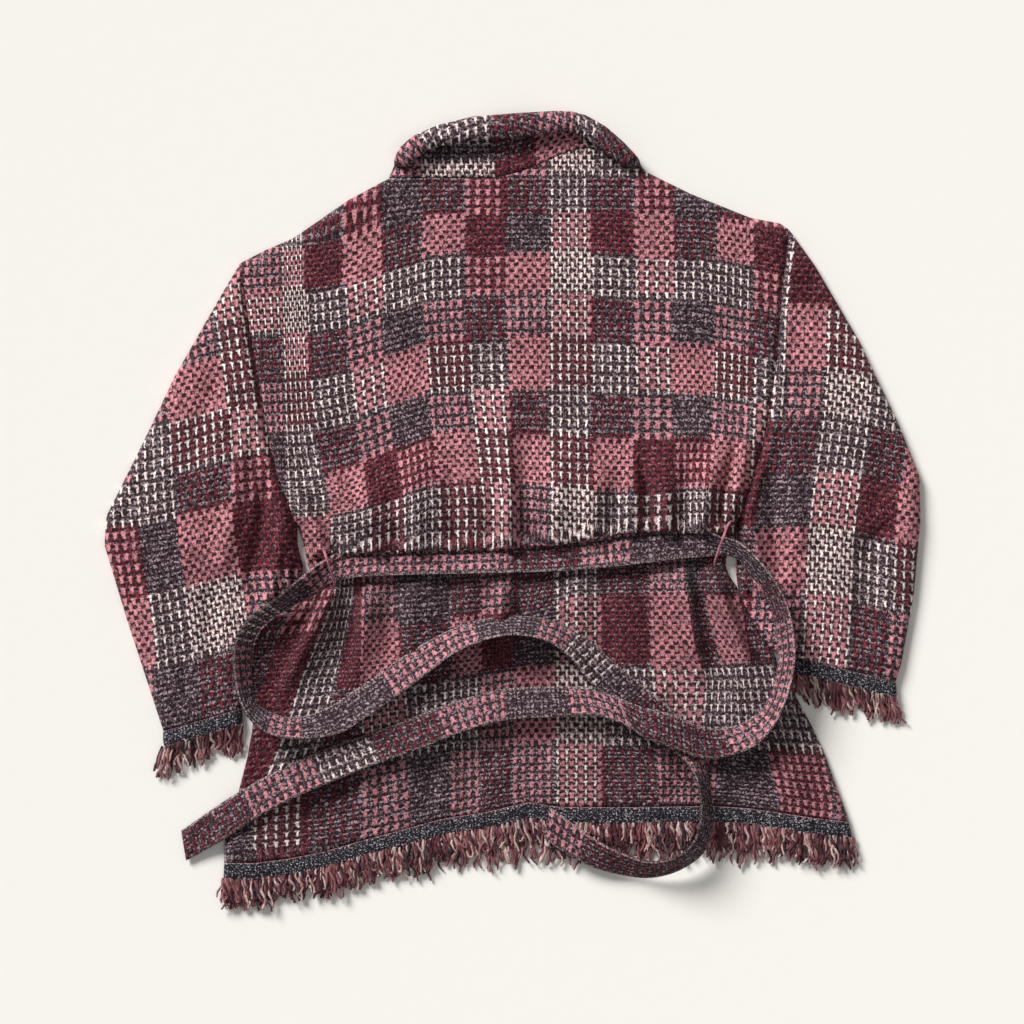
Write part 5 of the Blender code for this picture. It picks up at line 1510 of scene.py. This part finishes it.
def set_camera():
    data = bpy.data.cameras.new("camera")
    data.lens = LENS
    data.sensor_width = FILM
    data.clip_end = 50.0
    camera = bpy.data.objects.new("camera", data)
    spot = lay(np.array([[*PHOTO_MIDDLE, 10.0]]))[0]
    camera.location = (spot[0], spot[1], spot[2] + PHOTO_WIDTH * LENS / FILM)
    bpy.context.scene.collection.objects.link(camera)
    bpy.context.scene.camera = camera
    bpy.context.scene.view_settings.view_transform = "Standard"


# ---------------------------------------------------------------- dressing the model

def dress(piece, look, slot, *nodes):
    """Give a piece its look or looks, and let it stand for its solids."""
    for material in look if isinstance(look, tuple) else (look,):
        if material is not None:
            piece.data.materials.append(material)
    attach(piece, "root")
    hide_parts(*nodes)
    return piece


def line_roots(row, spacing):
    """Roots of the fringe, spread along the end of a band."""
    steps = np.linalg.norm(np.diff(row[:, :2], axis=0), axis=1)
    return along(row, max(4, int(steps.sum() / spacing)))


def dress_jacket():
    # Painted shade: the skirt's tweed is darkened to 0.78 for the shade it lies in below the
    # bloused back.
    body_looks = (tweed("body_tweed", BODY_CHECKS, 1.0),
                  tweed("skirt_tweed_painted_shade", SKIRT_CHECKS, 6.0, tone_and_painted_shade=0.78))
    sleeve_looks = (tweed("left_sleeve_tweed", LEFT_CHECKS, 2.0),
                    tweed("right_sleeve_tweed", RIGHT_CHECKS, 3.0))
    collar_look = tweed("collar_tweed", COLLAR_CHECKS, 4.0)
    # The belt's tweed is darkened to 0.85, partly a duller tone and partly painted shade on its
    # face; its pale edges are partly edge stitching and partly a painted highlight.
    belt_look = tweed("belt_tweed", BELT_CHECKS, 5.0, tone_and_painted_shade=0.85, pale_edge_and_highlight=True)
    band_look = heather_band("band_wool")
    yarns = [yarn("pink_yarn", (0.30, 0.125, 0.135), (0.17, 0.05, 0.06)),
             yarn("wine_yarn", (0.075, 0.018, 0.025), (0.17, 0.055, 0.065)),
             yarn("cream_yarn", (0.62, 0.47, 0.44), (0.42, 0.22, 0.22)),
             yarn("charcoal_yarn", (0.034, 0.024, 0.030), (0.13, 0.065, 0.072))]
    thread = yarn("loop_thread", (0.58, 0.22, 0.27), (0.40, 0.12, 0.16))

    back = dress(make_back(), body_looks, "tweed", "back")
    for side, side_name in enumerate(("left", "right")):
        front = dress(make_front(side), body_looks, "tweed", f"front_{side_name}")
        sleeve, ring, normals = make_sleeve(side)
        dress(sleeve, sleeve_looks[side], "tweed", f"sleeve_{side_name}")
        cuff = dress(make_cuff(side, ring, normals), band_look, "band", f"cuff_band_{side_name}")
        band, end = make_hem(2, side)
        dress(band, band_look, "band", f"hem_band_front_{side_name}")
        dress(front_fringe(side_name, end, yarns), None, "fringe", f"fringe_hem_front_{side_name}")
        dress(cuff_fringe(side, ring, yarns), None, "fringe", f"fringe_cuff_{side_name}")
    band, end = make_hem(1)
    dress(band, band_look, "band", "hem_band_back")
    roots = line_roots(end, 1.75)
    fringe = make_fringe("fringe_hem_back_yarns", roots, (0.02, 1.0), yarns, 11, BACK_FLOOR, 2)
    dress(fringe, None, "fringe", "fringe_hem_back")
    collar = dress(make_collar(), collar_look, "tweed", "collar")
    belt = dress(make_belt(), belt_look, "tweed", "belt")
    dress(make_loop("belt_loop_left_thread", LOOP_LEFT, [thread]), None, "thread",
          "belt_loop_left")
    dress(make_loop("belt_loop_right_thread", LOOP_RIGHT, [thread]), None, "thread",
          "belt_loop_right")


def front_fringe(side_name, end, yarns):
    """The fringe under a front's hem band."""
    seed = 23 if side_name == "left" else 29
    return make_fringe(f"fringe_hem_front_{side_name}_yarns", line_roots(end, 3.0), (0.0, 1.0),
                       yarns, seed)


def cuff_fringe(side, ring, yarns):
    """The fringe round a cuff, closer on top than below."""
    end = ring.copy()
    end[:, :2] += np.array(CUFF_WAY[side]) * BAND_WIDTH
    over, under = np.split(end, [SLEEVE_OVER + 6])
    lean = (0.22 if side else -0.12, 0.98)
    roots = np.vstack([line_roots(over, 1.7), line_roots(under, 3.6)])
    return make_fringe(f"fringe_cuff_{NAMES[side]}_yarns", roots, lean, yarns, 31 + side)


set_camera()
set_stage()
set_lights()
dress_jacket()
